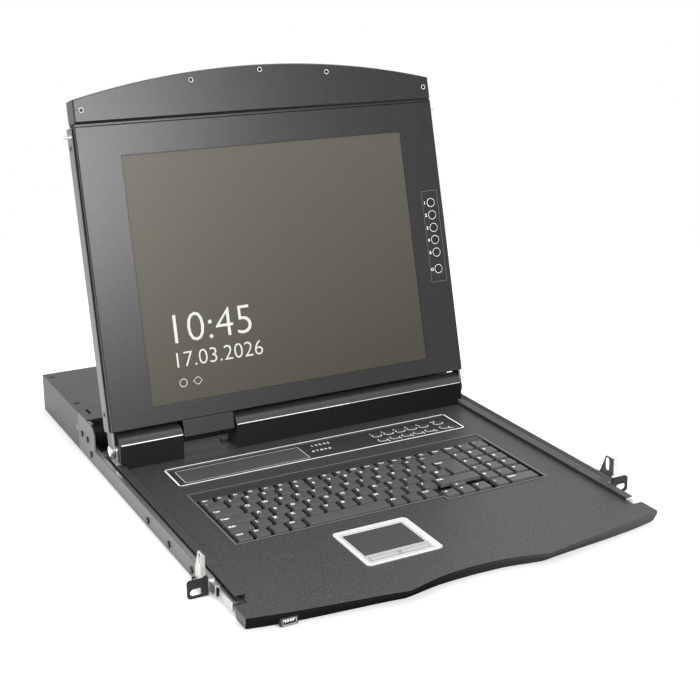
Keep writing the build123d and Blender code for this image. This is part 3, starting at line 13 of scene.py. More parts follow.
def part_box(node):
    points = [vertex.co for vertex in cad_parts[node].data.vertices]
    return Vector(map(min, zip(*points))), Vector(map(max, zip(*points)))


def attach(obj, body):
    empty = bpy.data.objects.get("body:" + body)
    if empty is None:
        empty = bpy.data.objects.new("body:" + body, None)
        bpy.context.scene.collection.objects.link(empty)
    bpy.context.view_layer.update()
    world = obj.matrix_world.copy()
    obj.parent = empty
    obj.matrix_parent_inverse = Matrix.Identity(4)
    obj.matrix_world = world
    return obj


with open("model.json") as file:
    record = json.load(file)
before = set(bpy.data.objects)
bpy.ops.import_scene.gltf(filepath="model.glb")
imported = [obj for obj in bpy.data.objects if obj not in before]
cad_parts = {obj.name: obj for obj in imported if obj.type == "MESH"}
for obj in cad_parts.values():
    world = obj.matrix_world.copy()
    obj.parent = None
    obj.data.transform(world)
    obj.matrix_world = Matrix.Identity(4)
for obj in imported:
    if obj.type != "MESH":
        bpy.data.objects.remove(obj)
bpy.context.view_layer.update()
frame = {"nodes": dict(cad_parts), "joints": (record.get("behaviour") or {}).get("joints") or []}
nodes = frame["nodes"]

# %% [markdown]
# Nearly every mark below sits on a solid, so its place is worked out from that solid's own box and
# stays right if the solid changes. Drawings of sheet metal are in millimetres, and so are the
# marks here. One helper reads a box in that unit.

# %% Places in millimetres
def box_mm(name):
    """The lowest and the highest corner of a solid, in millimetres."""
    return [[value * 1000 for value in corner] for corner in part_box(name)]

print("keyboard's rim:", box_mm("keyboard_frame"))

# %% [markdown]
# Colours are easiest to pick as the 0 to 255 values a photo shows, but the shader wants linear
# light. One small function turns one into the other, so each finish below can be written the way
# a paint chip is read.

# %% Colours
def paint(red, green, blue):
    """Screen values from 0 to 255 as a linear colour."""
    def linear(value):
        share = value / 255
        return share / 12.92 if share < 0.04045 else ((share + 0.055) / 1.055) ** 2.4
    return (linear(red), linear(green), linear(blue), 1)

print("the lid's black as light:", paint(26, 26, 26))

# %% [markdown]
# Everything on the drawer is painted sheet, bare metal or moulded plastic. These differ in colour,
# in how rough they are, in whether they are metal all through, and in how much they mirror when
# seen straight on. The principled shader has one socket for each, so a finish starts as four values.

# %% A plain finish
def finish_of(name, colour, rough, metal=0.0, gloss=0.5):
    """A plain finish: colour, roughness, metal or not, and how much it mirrors."""
    material = bpy.data.materials.new(name)
    material.use_nodes = True
    shader = material.node_tree.nodes["Principled BSDF"]
    shader.inputs["Base Color"].default_value = colour
    shader.inputs["Roughness"].default_value = rough
    shader.inputs["Metallic"].default_value = metal
    shader.inputs["Specular IOR Level"].default_value = gloss
    return material

print("helper for plain finishes")

# %% [markdown]
# No real finish is the same all over, so each one needs some more nodes. Adding a node by hand takes
# a line for the node, one for each socket and one for each link. The helpers here do that once: any
# node, the three parts of a place or a direction, and two values joined in one. The finishes can
# then be written as what they do.

# %% Nodes for finishes
def shader_node(tree, kind, sockets=None, **settings):
    """A new node of a kind, with its settings and its sockets filled in."""
    node = tree.nodes.new("ShaderNode" + kind)
    for name, value in settings.items():
        setattr(node, name, value)
    for socket, value in (sockets or {}).items():
        node.inputs[socket].default_value = value
    return node

def split(tree, vector):
    """The X, Y and Z of a place or a direction."""
    node = shader_node(tree, "SeparateXYZ")
    tree.links.new(vector, node.inputs[0])
    return node.outputs

def joined(tree, operation, first, second):
    """One value out of two, such as their product or the larger one."""
    node = shader_node(tree, "Math", operation=operation)
    tree.links.new(first, node.inputs[0])
    tree.links.new(second, node.inputs[1])
    return node.outputs[0]

print("helpers for nodes, their parts and joined values")

# %% [markdown]
# Three more helpers deal with changes from one place to the next. A value that rises between two
# places says where a change happens, and a shade or a mix says what changes there: the colour
# alone, or the whole shader.

# %% Shades and mixes
def rise(tree, value, start, end, **settings):
    """Nought where a value is at its start, one where it has reached its end."""
    node = shader_node(tree, "MapRange", {"From Min": start, "From Max": end}, **settings)
    tree.links.new(value, node.inputs["Value"])
    return node.outputs[0]

def shade(tree, share, first, second, start=0, end=1):
    """The first colour up to the start of a share, the second from its end on."""
    node = shader_node(tree, "ValToRGB")
    for stop, position, colour in zip(node.color_ramp.elements, (start, end), (first, second)):
        stop.position = position
        stop.color = colour
    tree.links.new(share, node.inputs["Fac"])
    return node.outputs["Color"]

def mixed(tree, share, first, second):
    """The first shader where the share is nought, the second where it is one."""
    node = shader_node(tree, "MixShader")
    for output, socket in zip((share, first, second), node.inputs):
        tree.links.new(output, socket)
    return node.outputs[0]

print("helpers for rising values, shades and mixes")

# %% [markdown]
# Powder coat is sprayed on as dust and baked, which leaves a skin like fine orange peel. Painting
# each speck would be slow, so a noise texture pushes the surface normal up and down instead. The
# same helper rounds the edges a little: sheet metal never ends in a perfect knife edge, and the
# thin bright line on a real edge is what makes it look solid.

# %% Grain and soft edges
GRAIN_DETAIL, GRAIN_RISE = 3, 0.0002
MOTTLE_START, MOTTLE_END = 0.35, 0.65

def skin(material, size, depth, edge=0.0005, mottle=0.0):
    """Adds a fine grain, softened edges and, if asked, a faint unevenness of colour."""
    tree = material.node_tree
    link = tree.links.new
    shader = tree.nodes["Principled BSDF"]
    noise = shader_node(tree, "TexNoise", {"Scale": 1 / size, "Detail": GRAIN_DETAIL})
    bump = shader_node(tree, "Bump", {"Strength": depth, "Distance": GRAIN_RISE})
    round_edge = shader_node(tree, "Bevel", {"Radius": edge}, samples=4)
    link(shader_node(tree, "TexCoord").outputs["Object"], noise.inputs["Vector"])
    link(noise.outputs["Fac"], bump.inputs["Height"])
    link(round_edge.outputs["Normal"], bump.inputs["Normal"])
    link(bump.outputs["Normal"], shader.inputs["Normal"])
    if mottle:
        colour = shader.inputs["Base Color"].default_value[:3]
        dark, light = [[part * (1 + change) for part in colour] + [1] for change in (-mottle, mottle)]
        uneven = shade(tree, noise.outputs["Fac"], dark, light, MOTTLE_START, MOTTLE_END)
        link(uneven, shader.inputs["Base Color"])
    return material

print("grain rises", GRAIN_RISE * 1000, "mm")

# %% [markdown]
# The deck, the lid and the hinge covers have the same coarse black powder coat. It could be one material, but
# each of them catches the lamps at its own angle, and in the photo they differ in tone. So each gets its own
# depth of black, which is painted light and shade on one coat, and its own gloss, with a grain of the same
# kind.

# %% Coats of the drawer and the lid
# the three blacks below differ as painted light and shade on one coat
powder = skin(finish_of("powder_coat", paint(63, 63, 64), 0.4, gloss=0.35), 0.0013, 0.6, mottle=0.7)
lid_powder = skin(finish_of("lid_coat", paint(26, 26, 26), 0.31, gloss=0.42), 0.0013, 0.4, mottle=0.7)
cover_powder = skin(finish_of("cover_coat", paint(54, 54, 55), 0.4), 0.0016, 0.4, 0.0006, 0.3)
print("coats made:", powder.name, lid_powder.name, cover_powder.name)

# %% [markdown]
# The front faces of the deck and of the hinge covers look down at the dark deck or the floor, out of the
# light, so they are painted in shade: darker and duller than the tops. A shiny face seen at a flat angle
# still picks up the white room, so a lower colour alone doesn't help. These faces turn into a plain dull
# shader instead, chosen by the way they face and by where they are, and their painted tone changes a little
# from left to right: lighter to the right on the deck as painted reflected light, darker to the right on the
# covers as painted shade.

# %% Painted shade on the front faces
FRONT_FADE, TURN_FADE = 0.006, 0.1
TONE_LEFT, TONE_RIGHT = -0.05, 0.23

def darker_front_face(material, colour, far_colour, behind, turn):
    """Painted shade: duller, darker colours where a face looks forward and lies in front of a given place,
    with a painted tone that changes from left to right.
    """
    tree = material.node_tree
    shader = tree.nodes["Principled BSDF"]
    facing = split(tree, shader_node(tree, "NewGeometry").outputs["True Normal"])
    where = split(tree, shader_node(tree, "TexCoord").outputs["Object"])
    forward = rise(tree, facing["Y"], turn, turn - TURN_FADE)
    in_front = rise(tree, where["Y"], behind, behind - FRONT_FADE)
    # the tone from left to right is painted light on the deck and painted shade on the covers
    tone = shade(tree, rise(tree, where["X"], TONE_LEFT, TONE_RIGHT), colour, far_colour)
    dull = shader_node(tree, "BsdfDiffuse")
    tree.links.new(tone, dull.inputs["Color"])
    tree.links.new(shader.inputs["Normal"].links[0].from_socket, dull.inputs["Normal"])
    face = joined(tree, "MULTIPLY", forward, in_front)
    surface = mixed(tree, face, shader.outputs[0], dull.outputs[0])
    tree.links.new(surface, tree.nodes["Material Output"].inputs["Surface"])
    print(material.name, "has a darker front")

# painted shade on the deck's front, lighter to the right as painted reflected light
darker_front_face(powder, paint(26, 26, 27), paint(84, 84, 85), behind=-0.020, turn=-0.4)
# painted shade on the covers' fronts, darker to the right
darker_front_face(cover_powder, paint(38, 38, 39), paint(28, 28, 29), behind=0.3, turn=-0.88)

# %% [markdown]
# The box, its rails and the back of the lid are painted steel with a flatter skin than the deck.
# The rails and the lid's back catch more light, so their greys are painted lighter: painted light. The ears
# are small and stay nearly black.

# %% Paints of the box
box_paint = skin(finish_of("box_paint", paint(54, 54, 55), 0.4), 0.0016, 0.4, 0.0006, 0.3)
# lighter grey of the lid's back is painted light
casing_paint = skin(finish_of("casing_paint", paint(124, 125, 124), 0.42), 0.0016, 0.2, 0.0006)
# lighter grey of the rails is painted light
rail_paint = skin(finish_of("rail_paint", paint(108, 107, 104), 0.4), 0.0016, 0.2, 0.0004, 0.1)
ear_paint = skin(finish_of("ear_paint", paint(26, 26, 27), 0.4, gloss=0.3), 0.0012, 0.2, 0.0004)
print("paints made:", box_paint.name, casing_paint.name, rail_paint.name, ear_paint.name)

# %% [markdown]
# Bare metal comes in a few kinds here. The slides are zinc plated, so they are bright but a little
# cloudy. The latches are polished and plated, the hinge arms are plain grey steel, and the case of
# the power supply is dull. All of these are metal all through, so only colour and roughness differ.
# The screws are blackened, which leaves a skin that is only partly metal.

# %% Bare metals
zinc = skin(finish_of("zinc_plate", paint(205, 206, 206), 0.34, 1.0), 0.002, 0.06, 0.0003)
plated = skin(finish_of("bright_plate", paint(204, 203, 200), 0.34, 1.0), 0.003, 0.03, 0.0003)
arm_steel = skin(finish_of("arm_steel", paint(120, 120, 119), 0.42, 1.0), 0.003, 0.05, 0.0003)
supply_metal = skin(finish_of("supply_metal", paint(168, 170, 172), 0.4, 1.0), 0.002, 0.1)
screw_black = skin(finish_of("screw_black", paint(38, 38, 38), 0.32, 0.6), 0.002, 0.1, 0.0003)
print("metals made:", zinc.name, plated.name, arm_steel.name, supply_metal.name, screw_black.name)

# %% [markdown]
# Each hinge arm ends outside in a disc that is plated bright, and arm and disc are one solid. They
# could be cut apart, but the disc is simply what lies furthest from the middle, so the distance
# from the middle can pick the colour.

# %% Bright discs of the hinge arms
DISC, DISC_FADE = 0.002, 0.0002

def brighter_far_out(material, colour, start):
    """Another colour further than start from the middle, to the left and to the right."""
    tree = material.node_tree
    base = tree.nodes["Principled BSDF"].inputs["Base Color"]
    where = split(tree, shader_node(tree, "NewGeometry").outputs["Position"])
    distance = shader_node(tree, "Math", operation="ABSOLUTE")
    tree.links.new(where["X"], distance.inputs[0])
    outside = rise(tree, distance.outputs[0], start, start + DISC_FADE)
    tree.links.new(shade(tree, outside, base.default_value[:], colour), base)

disc_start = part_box("hinge_arm_right")[1][0] - DISC
brighter_far_out(arm_steel, paint(225, 224, 220), disc_start)
print("discs start", disc_start, "from the middle")

# %% [markdown]
# The frame of the touch pad and its two buttons look like metal but are plastic with silver paint.
# Real silver paint is fine metal dust in a clear coat, so it lies between metal and plastic: a
# light grey with only a little metal in it.

# %% Silver paints
silver = skin(finish_of("silver_paint", paint(238, 238, 238), 0.3, 0.15), 0.0012, 0.08)
grey_silver = skin(finish_of("grey_silver", paint(198, 198, 199), 0.35, 0.15), 0.0012, 0.08)
print("silver paints made:", silver.name, grey_silver.name)

# %% [markdown]
# Moulded black plastic has the fine matt grain of its mould, which hides finger marks. The key caps are the
# lightest, a painted light because their tops look up at the lamps, and the rim round them is darker.
# Under the keys lies a plate that is nearly black, so that no light shows between them.

# %% Plastics of the keyboard
# the lighter grey of the caps is painted light
key_plastic = skin(finish_of("key_plastic", paint(80, 80, 81), 0.4), 0.0006, 0.25, 0.0007)
black_plastic = skin(finish_of("black_plastic", paint(46, 46, 47), 0.48), 0.0007, 0.25)
plate_black = skin(finish_of("plate_black", paint(24, 24, 25), 0.6, gloss=0.3), 0.0012, 0.2, 0.0003, 0.2)
print("keyboard plastics made:", key_plastic.name, black_plastic.name, plate_black.name)

# %% [markdown]
# The strip above the keyboard is glossy, with a smoked window over its display and small matt
# buttons. Gloss on black shows as a light grey sheen from the room, so these two have the full
# mirror value and the buttons and the touch pad don't.

# %% Plastics of the strip and the touch pad
band_plastic = skin(finish_of("band_plastic", paint(52, 52, 54), 0.35, gloss=1.0), 0.0016, 0.5, 0.0004, 0.5)
smoked = finish_of("window_plastic", paint(84, 84, 86), 0.3, gloss=1.0)
window_plastic = skin(smoked, 0.0016, 0.4, 0.0003, 0.3)
pad_plastic = skin(finish_of("pad_plastic", paint(55, 56, 58), 0.5), 0.0005, 0.2, 0.0003)
button_plastic = skin(finish_of("button_plastic", paint(66, 67, 69), 0.4), 0.0006, 0.15)
print("strip plastics made:", band_plastic.name, window_plastic.name, button_plastic.name)

# %% [markdown]
# On the lid, the strip beside the screen and its buttons face the camera and mirror the bright room, so they
# have hardly any gloss. The inserts of the ports are dark, the shadowed seam under the handle bar gets a
# black that is painted shade, and the boards inside are green glass fibre.

# %% Plastics of the lid, the ports and the boards
osd_plastic = skin(finish_of("osd_plastic", paint(44, 44, 45), 0.5, gloss=0.15), 0.0012, 0.3, 0.0004, 0.4)
osd_button = finish_of("osd_button_plastic", paint(36, 36, 37), 0.5, gloss=0.15)
osd_button_plastic = skin(osd_button, 0.0012, 0.2, 0.0004, 0.2)
port_blue = skin(finish_of("port_blue", paint(26, 36, 70), 0.5), 0.0008, 0.2, 0.0002, 0.1)
# painted shade: the black of the seam under the bar, of the screw sockets and of the port holes
painted_shade_black = skin(finish_of("painted_shade_black", paint(18, 18, 19), 0.6, gloss=0.2), 0.0012, 0.3, 0.0003, 0.3)
board_green = skin(finish_of("board_green", paint(24, 84, 48), 0.5), 0.003, 0.1, 0.0003, 0.2)
print("small plastics made:", osd_plastic.name, osd_button_plastic.name, port_blue.name, painted_shade_black.name)

# %% [markdown]
# A maker's parts list says which piece goes to which paint line, and this table says the same for
# the solids. Setting each one by hand would take sixty lines, so each finish has the list of its
# solids, and a loop dresses them. The screen alone is missing: it gets its own picture next.

# %% Which solid gets which finish
finishes = {
    powder: ["tray_deck", "tray_bottom"],
    lid_powder: ["lid_bezel", "handle_bar"],
    cover_powder: ["hinge_cover_left", "hinge_cover_right"],
    casing_paint: ["lid_back"],
    box_paint: ["base_pan", "cross_strip", "rear_cover", "rear_panel"],
    rail_paint: ["side_rail_left", "side_rail_right"],
    ear_paint: ["rack_ear_left", "rack_ear_right"],
    zinc: ["slide_outer_left", "slide_outer_right", "slide_middle_left", "slide_middle_right",
           "slide_inner_left", "slide_inner_right", "hinge_bracket_left", "hinge_bracket_right",
           "latch_pivots", "usb_port", "video_ports"],
    arm_steel: ["hinge_arm_left", "hinge_arm_right"],
    plate_black: ["keyboard_plate"],
    plated: ["latch_left", "latch_right", "latch_catches"],
    silver: ["touchpad_frame"],
    grey_silver: ["touch_button_left", "touch_button_right"],
    screw_black: ["chassis_screws", "tray_screws", "lid_screws"],
    supply_metal: ["power_supply"],
    key_plastic: ["keys_function_row", "keys_main", "space_bar", "keys_cursor", "keys_numpad"],
    black_plastic: ["keyboard_frame", "usb_housing", "power_inlet", "power_switch", "cable_clip"],
    band_plastic: ["strip_frame"],
    window_plastic: ["display_window"],
    pad_plastic: ["touchpad"],
    button_plastic: ["port_buttons", "mode_buttons"],
    osd_plastic: ["osd_strip"],
    osd_button_plastic: ["osd_buttons", "power_button"],
    board_green: ["switch_board", "lcd_board"],
}

def dress(name, material):
    """Puts one finish on a whole solid."""
    slots = nodes[name].data.materials
    slots.clear()
    slots.append(material)

for material, names in finishes.items():
    for name in names:
        dress(name, material)
print("solids dressed:", sum(len(names) for names in finishes.values()))

# %% [markdown]
# The screen is a matt film over a warm grey picture, with a painted reflection of the light: lighter at the
# upper left and falling off towards the lower right. A picture file could do it, but a shade over the panel's
# own width and height needs no file and stays sharp. Film mirrors little of the room, so the gloss is low.

# %% Screen
SHARE_ACROSS, SHARE_DOWN = 0.45, 0.55
screen = skin(finish_of("screen_glass", paint(110, 108, 98), 0.3, gloss=0.08), 0.0015, 0.03, 0.0003)
tree = screen.node_tree
where = split(tree, shader_node(tree, "TexCoord").outputs["Generated"])
down = shader_node(tree, "Math", {1: -SHARE_DOWN, 2: SHARE_DOWN}, operation="MULTIPLY_ADD")
tree.links.new(where["Z"], down.inputs[0])
slant = shader_node(tree, "Math", {1: SHARE_ACROSS}, operation="MULTIPLY_ADD")
tree.links.new(where["X"], slant.inputs[0])
tree.links.new(down.outputs[0], slant.inputs[2])
# painted reflection: lighter at the upper left, darker at the lower right
painted_screen_reflection = shade(tree, slant.outputs[0], paint(98, 96, 87), paint(70, 68, 60))
tree.links.new(painted_screen_reflection, tree.nodes["Principled BSDF"].inputs["Base Color"])
dress("lcd_panel", screen)
print("screen shaded")

# %% [markdown]
# Printed marks are a thin layer of ink, and the fine bright lines are trims, bare edges and painted
# highlights. All of them are flat shapes laid a hair above the surface. The inks differ only in their grey,
# so a loop over names and greys makes them.

# %% Inks
INK_HEIGHT = 0.05

def ink(name, colour, rough=0.4, depth=0.15, mottle=0.06):
    """A thin flat layer of one colour."""
    return skin(finish_of(name, colour, rough), 0.0006, depth, 0.00005, mottle)

white_ink = ink("white_ink", paint(255, 255, 255))
bright_line = ink("bright_line", paint(250, 250, 250))
# white for the strip's plated rim and for the painted highlights on the hinge cover bends
trim_and_highlight = ink("trim_and_highlight", paint(255, 255, 255), rough=0.3)
grey_line = ink("grey_line", paint(165, 165, 165))
dark_line = ink("dark_line", paint(110, 110, 112), rough=0.5)
glow = ink("screen_white", paint(212, 212, 208), rough=0.5, depth=0.05, mottle=0.03)
print("inks made:", white_ink.name, bright_line.name, trim_and_highlight.name, grey_line.name, dark_line.name)

# %% [markdown]
# Letters and numbers are made with Blender's own type and turned into meshes at once, because a
# text object for each of a hundred keys would be slow and untidy. Type drawn a little bolder than
# its font stays readable when it is only a few pixels high.

# %% Flat type
BOLD = 0.03

def type_mesh(words, size, centred=True, bold=BOLD):
    """Flat type as a mesh round its own origin, its size in millimetres."""
    curve = bpy.data.curves.new("type", "FONT")
    curve.body = words
    curve.size = size / 1000
    curve.resolution_u = 3
    curve.offset = bold * size / 1000
    curve.align_x = "CENTER" if centred else "LEFT"
    curve.align_y = "CENTER" if centred else "BOTTOM_BASELINE"
    holder = bpy.data.objects.new("type", curve)
    mesh = bpy.data.meshes.new_from_object(holder)
    bpy.data.objects.remove(holder)
    bpy.data.curves.remove(curve)
    return mesh

print("type is", BOLD, "of its height bolder than its font")

# %% [markdown]
# The other printed marks are patches and straight lines. A line is a patch round its two ends,
# and a rim is a loop of lines. Most rims follow the edge of a solid, a little inside it or outside
# it, so they can be drawn from the name of that solid.

# %% Patches and lines
def patch_mesh(points):
    """A flat patch through corners in millimetres."""
    mesh = bpy.data.meshes.new("patch")
    mesh.from_pydata([(x / 1000, y / 1000, 0) for x, y in points], [], [tuple(range(len(points)))])
    return mesh

def line_mesh(start, end, width):
    """A flat straight line between two points, with square ends."""
    a, b = Vector(start), Vector(end)
    along = (b - a).normalized() * width / 2
    side = Vector((-along.y, along.x))
    return patch_mesh([a - along - side, b + along - side, b + along + side, a - along + side])

def loop_lines(corners, width):
    """Thin lines from corner to corner and back to the first."""
    return [line_mesh(a, b, width) for a, b in zip(corners, corners[1:] + corners[:1])]

def outline(x1, x2, y1, y2, width):
    """Four thin lines round a window."""
    return loop_lines([(x1, y1), (x2, y1), (x2, y2), (x1, y2)], width)

def frame_outline(name, inset, width):
    """Four thin lines inside the edge of a solid, or outside it where the inset is negative."""
    low, high = box_mm(name)
    return outline(low[0] + inset, high[0] - inset, low[1] + inset, high[1] - inset, width)

print("helpers for patches, lines and rims")

# %% [markdown]
# Round and oval buttons have outlines of the same shape. Such a ring is two rows of points, one
# inside the other, joined by small faces: half circles at the ends, with straights between them. A
# circle is an oval as long as it is wide, so one helper makes both.

# %% Oval rings
def ring_mesh(length, width, line, steps=10):
    """A flat oval ring outside a length and a width: two half circles joined by straights."""
    mesh = bpy.data.meshes.new("ring")
    shape = bmesh.new()
    loops = []
    half = (length - width) / 2
    for radius in (width / 2, width / 2 + line):
        points = []
        for side, first_turn in ((1, -pi / 2), (-1, pi / 2)):
            for i in range(steps + 1):
                turn = first_turn + pi * i / steps
                x, y = side * half + radius * cos(turn), radius * sin(turn)
                points.append(shape.verts.new((x / 1000, y / 1000, 0)))
        loops.append(points)
    inner, outer = loops
    for i in range(len(inner)):
        following = (i + 1) % len(inner)
        shape.faces.new((inner[i], inner[following], outer[following], outer[i]))
    shape.to_mesh(mesh)
    shape.free()
    return mesh

print("helper for oval rings")

# %% [markdown]
# All marks of one moving piece are gathered in one mesh that rides on that piece, so a pressed key
# takes its letter along. Each mark comes with the matrix that puts it in place. Most lie face up
# on the deck, so they need only a place.

# %% Laying marks
def flat_at(x, y, z):
    """Lays a mark face up at a place given in millimetres."""
    return Matrix.Translation((x / 1000, y / 1000, (z + INK_HEIGHT) / 1000))

def laid(meshes, z):
    """Marks that already have their places, laid face up at one height."""
    return [(mesh, flat_at(0, 0, z)) for mesh in meshes]

def print_marks(name, marks, material, body):
    """Joins (mesh, placing matrix) marks to one object that rides on a body."""
    sheet = bmesh.new()
    for mesh, where in marks:
        start = len(sheet.verts)
        sheet.from_mesh(mesh)
        sheet.verts.ensure_lookup_table()
        bmesh.ops.transform(sheet, matrix=where, verts=sheet.verts[start:])
        bpy.data.meshes.remove(mesh)
    result = bpy.data.meshes.new(name)
    sheet.to_mesh(result)
    sheet.free()
    result.materials.append(material)
    piece = bpy.data.objects.new(name, result)
    bpy.context.scene.collection.objects.link(piece)
    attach(piece, body)
    print(name, "marks:", len(marks))

# %% [markdown]
# The key caps are solids already, so only their letters are missing. Their rows are laid out by
# the few numbers a keyboard maker uses: the depth of a cap, the pitch from key to key and from row
# to row, and the gap. A letter sits at the rear left of its cap, and a word is set smaller.

# %% Layout of the keys
CAP_DEPTH, PITCH, GAP, ROWS = 16.4, 18.4, 3.0, 5
LETTER_LEFT, LETTER_BACK, LETTER_RISE, LETTER_BOLD = 2.4, 2.2, 0.75, 0.05
LETTER, WORD = 5.6, 4.2
(KEYS_LEFT, KEYS_FRONT, _), (_, KEYS_BACK, KEY_TOP) = box_mm("keys_main")
ROW_PITCH = (KEYS_BACK - KEYS_FRONT - CAP_DEPTH) / (ROWS - 1)

def legend(words, x, y, depth=CAP_DEPTH, size=None):
    """Letters at the rear left of a cap whose front left corner is x, y."""
    size = size or (WORD if len(words) > 1 else LETTER)
    place = flat_at(x + LETTER_LEFT, y + depth - LETTER_BACK - LETTER_RISE * size, KEY_TOP)
    return (type_mesh(words, size, False, LETTER_BOLD), place)

print("rows are", ROW_PITCH, "mm apart")

# %% [markdown]
# The main block has four full rows, each with a wide first cap, a run of plain keys and sometimes
# a wide last cap. So a row is written as the width of the first cap, its word, the plain letters,
# the last word and how far that word moves. The tall enter key starts a little further left.
# The front row has few words, on both sides of the space bar.

# %% Letters of the main keys
ENTER_MOVE = -3.0
rows = [
    (25.3, "Shift", "\\ZXCVBNM,./", "Shift", 0),
    (34.3, "Caps", "ASDFGHJKL;'#", None, 0),
    (30.3, "Tab", "QWERTYUIOP[]", "Enter", ENTER_MOVE),
    (20.6, "`", "1234567890-=", "<--", 0),
]
main_marks = []
for number, (first_cap, name, plain, last, move) in enumerate(rows, 1):
    y = KEYS_FRONT + ROW_PITCH * number
    x = KEYS_LEFT + first_cap + GAP
    main_marks.append(legend(name, KEYS_LEFT, y))
    main_marks += [legend(letter, x + PITCH * i, y) for i, letter in enumerate(plain)]
    if last:
        main_marks.append(legend(last, x + PITCH * len(plain) + move, y))
space_end = box_mm("space_bar")[1][0] + GAP
for x, names in ((KEYS_LEFT, ("Ctrl", "Fn", "", "Alt")), (space_end, ("Alt", "", "Ctrl"))):
    main_marks += [legend(name, x + PITCH * i, KEYS_FRONT) for i, name in enumerate(names) if name]
print_marks("letters_main", main_marks, white_ink, "main_keys")

# %% [markdown]
# The function keys are lower caps in one row of equal pitch, from the first to the last. Their
# words are the smallest on the keyboard, because the caps are only half as deep.

# %% Letters of the function keys
FUNCTION_WORD = 3.8
(left, front, _), (right, back, _) = box_mm("keys_function_row")
names = ["Esc"] + [f"F{i}" for i in range(1, 13)] + ["Ins", "Del", "Pg", "End"]
function_pitch = (right - left + GAP) / len(names)
function_marks = [
    legend(name, left + function_pitch * i, front, back - front, FUNCTION_WORD)
    for i, name in enumerate(names)
]
print_marks("letters_function", function_marks, white_ink, "function_keys")

# %% [markdown]
# The cursor keys carry arrow heads, three in front and one behind the middle one. A triangle is
# all an arrow head needs, turned to the left, the front, the right and the back.

# %% Arrows of the cursor keys
ARROW_LEFT, ARROW_PITCH, ARROW_FRONT, ARROW_BACK = 5.0, 18.9, 11.9, 4.0
(left, front, _), (_, back, _) = box_mm("keys_cursor")

def arrow(column, y, turn):
    """A small arrow head on one of the columns."""
    place = flat_at(left + ARROW_LEFT + ARROW_PITCH * column, y, KEY_TOP)
    return (patch_mesh([(-1.6, -1.2), (1.6, -1.2), (0, 1.8)]), place @ Matrix.Rotation(turn, 4, "Z"))

cursor_marks = [arrow(column, front + ARROW_FRONT, turn) for column, turn in enumerate((pi / 2, pi, -pi / 2))]
cursor_marks.append(arrow(1, back - ARROW_BACK, 0))
print_marks("letters_cursor", cursor_marks, white_ink, "cursor_keys")

# %% [markdown]
# The number pad has three columns and six rows, with its enter key in the front row. Written as
# rows of words from front to back, it reads like the pad itself.

# %% Letters of the number keys
NUMBER_PITCH, NUMBER_ROW_PITCH = 18.2, 19.6
(left, front, _), _ = box_mm("keys_numpad")
number_rows = [
    ["-", "Enter"],
    ["0", ".", "+"],
    ["1", "2", "3"],
    ["4", "5", "6"],
    ["7", "8", "9"],
    ["Num", "/", "*"],
]
number_marks = [
    legend(name, left + NUMBER_PITCH * column, front + NUMBER_ROW_PITCH * row)
    for row, names in enumerate(number_rows)
    for column, name in enumerate(names)
]
print_marks("letters_number", number_marks, white_ink, "number_keys")

# %% [markdown]
# On the touch pad's frame fine dark lines show where the frame stops and the pad and its buttons
# begin. They are gaps of a few tenths of a millimetre on the real object. Cutting them would add
# many tiny faces, and at this size a printed line looks the same.

# %% Fine lines on the touch pad's frame
BUTTON_INSET, BUTTON_LINE, PAD_LINE = 1.0, 0.6, 0.5
for side in ("left", "right"):
    button = "touch_button_" + side
    edge = laid(frame_outline(button, BUTTON_INSET, BUTTON_LINE), box_mm(button)[1][2])
    print_marks("button_line_" + side, edge, dark_line, "pad_button_" + side)

PAD_LEFT, PAD_RIGHT, PAD_FRONT, PAD_BACK = -80.9, -13.9, -25.8, 25.1
BUTTONS_FRONT, BUTTONS_BACK = -39.4, -26.6
pad_edges = outline(PAD_LEFT, PAD_RIGHT, PAD_FRONT, PAD_BACK, PAD_LINE)
pad_edges += outline(PAD_LEFT, PAD_RIGHT, BUTTONS_FRONT, BUTTONS_BACK, PAD_LINE)
print_marks("pad_lines", laid(pad_edges, box_mm("touchpad_frame")[1][2]), dark_line, "drawer")

# %% [markdown]
# The select buttons are ovals with a fine bright outline, two rows of five and one more pair. The
# outlines are printed on the strip, so they stay where they are when a button is pressed. A fine
# line of the same kind runs round the display window.

# %% Outlines of the select buttons
OVAL_LENGTH, OVAL_WIDTH, OVAL_LINE = 10.0, 6.8, 1.2
BUTTON_PITCH, BUTTON_ROW_PITCH = 15.1, 14.6
WINDOW_GAP, WINDOW_LINE = 0.8, 0.6

def middle_of(name):
    """The middle of a solid, from left to right and from front to back."""
    low, high = box_mm(name)
    return (low[0] + high[0]) / 2, (low[1] + high[1]) / 2

middle, between_rows = middle_of("port_buttons")
columns = [middle + BUTTON_PITCH * i for i in range(-2, 3)]
front_row, back_row = between_rows - BUTTON_ROW_PITCH / 2, between_rows + BUTTON_ROW_PITCH / 2
mode_column = middle_of("mode_buttons")[0]
STRIP_TOP = box_mm("display_window")[1][2]
outlines = [
    (ring_mesh(OVAL_LENGTH, OVAL_WIDTH, OVAL_LINE), flat_at(x, y, STRIP_TOP))
    for x in columns + [mode_column]
    for y in (front_row, back_row)
]
window = frame_outline("display_window", -WINDOW_GAP, WINDOW_LINE)
print_marks("button_outlines", outlines + laid(window, STRIP_TOP), bright_line, "drawer")

# %% [markdown]
# The whole strip has a bright rim, about two millimetres wide, just inside its edge. It is the
# boldest line on the deck, and on the real strip it is a plated bead. Seen from above, a flat band
# of bright finish on top of the strip's own frame reads the same.

# %% Bright rim of the strip
RIM_INSET, RIM = 1.1, 2.0
rim = frame_outline("strip_frame", RIM_INSET, RIM)
print_marks("strip_trim", laid(rim, box_mm("strip_frame")[1][2]), trim_and_highlight, "drawer")

# %% [markdown]
# Small numbers stand beside the select buttons: one to five behind the rear row, six to ten in
# front of the front row, and two short ranges at the last pair. Between the window and the buttons
# are two rows of plain numbers.

